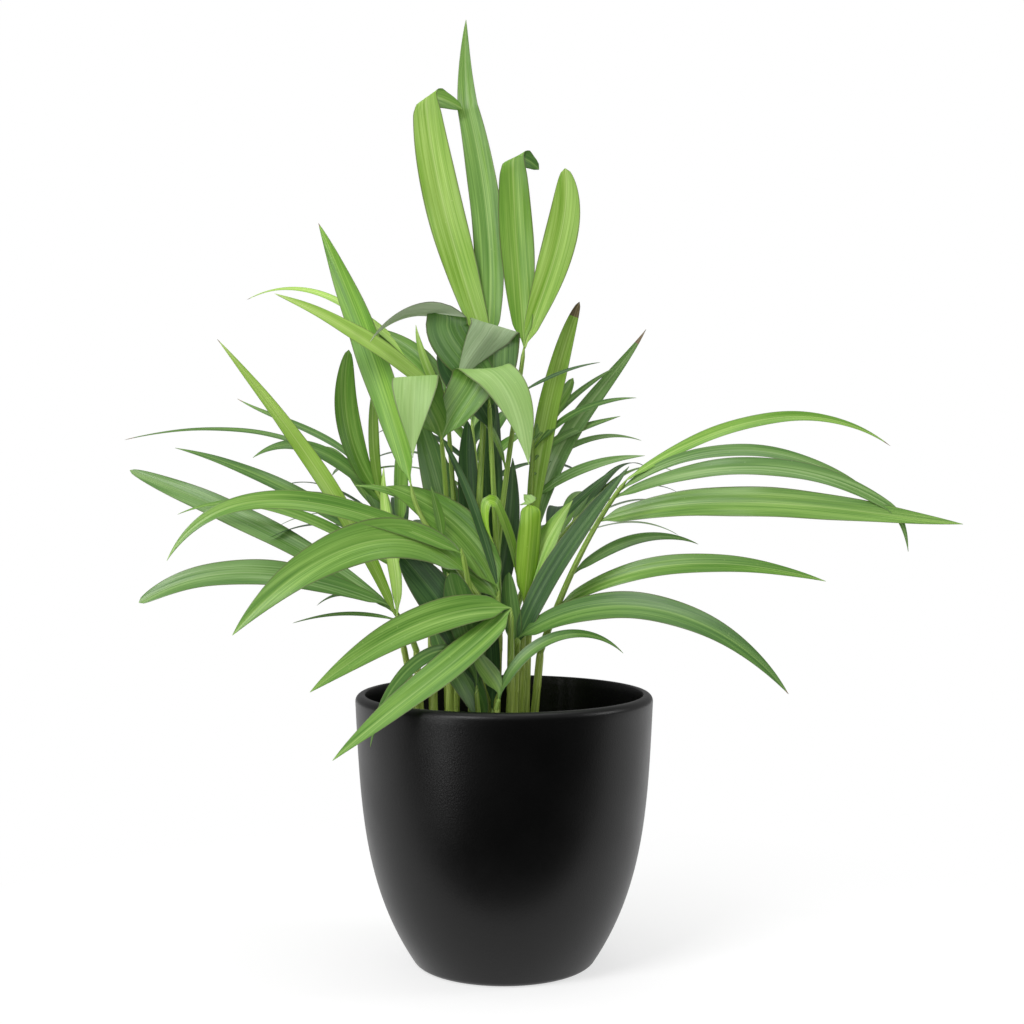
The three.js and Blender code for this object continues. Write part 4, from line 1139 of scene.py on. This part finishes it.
def paper_material():
    """White studio paper: matt, and lit from its far end.

    It takes a faint shadow at the pot and is lost in white beyond it. The leaves find this light by their own
    bounces, because rays aimed at so wide a sheet leave their tips speckled.
    """
    material, tree = start_material("white studio paper")
    place = add(tree, "TexCoord").outputs["Object"]
    reach = add(tree, "VectorMath", {0: place}, operation="LENGTH").outputs["Value"]
    away = add(tree, "MapRange", {
        "Value": reach, "From Min": SHADOW_FROM, "From Max": SHADOW_TO, "To Min": 0.0, "To Max": 1.0,
    }).outputs[0]
    tint = add(tree, "ValToRGB", {"Fac": away}, stops=((0.0, "b4b4b4"), (1.0, "000000"))).outputs[0]
    glow = add(tree, "MapRange", {
        "Value": away, "From Min": 0.0, "From Max": 1.0, "To Min": SHADOW_GLOW, "To Max": 1.0,
    }).outputs[0]
    end_material(tree, {
        "Base Color": tint, "Roughness": 0.9, "IOR": 1.3, "Specular IOR Level": 0.0,
        "Emission Color": linear("ffffff"), "Emission Strength": glow,
    })
    material.cycles.emission_sampling = "NONE"
    return material


# the paper ends just in front of the pot, so that the glaze mirrors the dark of the room there
mesh = bpy.data.meshes.new("floor")
corners = [
    (-FLOOR_SIDE, -FLOOR_FRONT, 0), (FLOOR_SIDE, -FLOOR_FRONT, 0), (FLOOR_SIDE, FLOOR_BACK, 0),
    (-FLOOR_SIDE, FLOOR_BACK, 0),
]
mesh.from_pydata(corners, [], [(0, 1, 2, 3)])
mesh.materials.append(paper_material())
floor = bpy.data.objects.new("floor", mesh)
bpy.context.collection.objects.link(floor)


def add_light(name, place, aim, size, power):
    """A soft light, turned to a point: its width and height in metres and its power in watts."""
    light = bpy.data.lights.new(name, "AREA")
    light.shape = "RECTANGLE"
    light.size, light.size_y = size
    light.energy = power
    lamp = bpy.data.objects.new(name, light)
    lamp.location = place
    lamp.rotation_euler = (Vector(aim) - Vector(place)).to_track_quat("-Z", "Y").to_euler()
    bpy.context.collection.objects.link(lamp)
    return lamp


add_light("key", (-1.0, -1.5, 1.8), (0, 0, 0.3), (0.8, 0.8), 23)
add_light("strip", (-1.2, -1.15, 0.5), (0, 0, 0.5), (0.4, 1.5), 10)
add_light("fill", (1.8, -0.1, 1.0), (0, 0, 0.25), (0.6, 0.6), 7)
add_light("top", (0.1, 0.2, 2.2), (0, 0, 0.2), (1.4, 1.4), 9)
# a low front light that is flagged off the pot, so that the glaze stays dark while the leaves are lit
front_light = add_light("front", (0.2, -1.9, 0.45), (0, 0, 0.35), (0.9, 0.9), 9)
lit = bpy.data.collections.new("lit from the front")
for thing in bpy.data.objects:
    if thing.type == "MESH" and not thing.name.startswith(("pot", "soil", "floor")):
        lit.objects.link(thing)
front_light.light_linking.receiver_collection = lit


def build_room():
    """The room round the stage: dim in front, pale behind and overhead. The camera sees white paper."""
    world = bpy.data.worlds.new("studio")
    world.use_nodes = True
    tree = world.node_tree
    tree.nodes.clear()
    way = add(tree, "TexCoord").outputs["Generated"]
    way = add(tree, "SeparateXYZ", {0: way}).outputs
    behind = add(tree, "MapRange", {
        "Value": way[1], "From Min": -0.5, "From Max": 0.3, "To Min": 0.1, "To Max": 0.68,
    }).outputs[0]
    above = add(tree, "MapRange", {
        "Value": way[2], "From Min": 0.25, "From Max": 0.75, "To Min": 0.0, "To Max": 0.9,
    }).outputs[0]
    light = add(tree, "Math", {0: behind, 1: above}, operation="MAXIMUM").outputs[0]
    light = add(tree, "Math", {0: light, 1: 0.5}, operation="MULTIPLY").outputs[0]
    room = add(tree, "Background", {"Color": linear("ffffff"), "Strength": light}).outputs[0]
    paper = add(tree, "Background", {"Color": linear("ffffff"), "Strength": 1.0}).outputs[0]
    seen = add(tree, "LightPath").outputs["Is Camera Ray"]
    mixed = add(tree, "MixShader", {0: seen, 1: room, 2: paper}).outputs[0]
    add(tree, "OutputWorld", {"Surface": mixed})
    return world


bpy.context.scene.world = build_room()

camera = bpy.data.cameras.new("camera")
camera.lens = CAMERA_LENS
camera.sensor_width = 36
camera.shift_y = CAMERA_SHIFT
eye = bpy.data.objects.new("camera", camera)
eye.location = (CAMERA_SIDE * MM, -CAMERA_DISTANCE * MM, CAMERA_HEIGHT * MM)
eye.rotation_euler = (math.pi / 2, 0, 0)
bpy.context.collection.objects.link(eye)
bpy.context.scene.camera = eye
bpy.context.scene.view_settings.view_transform = "Standard"
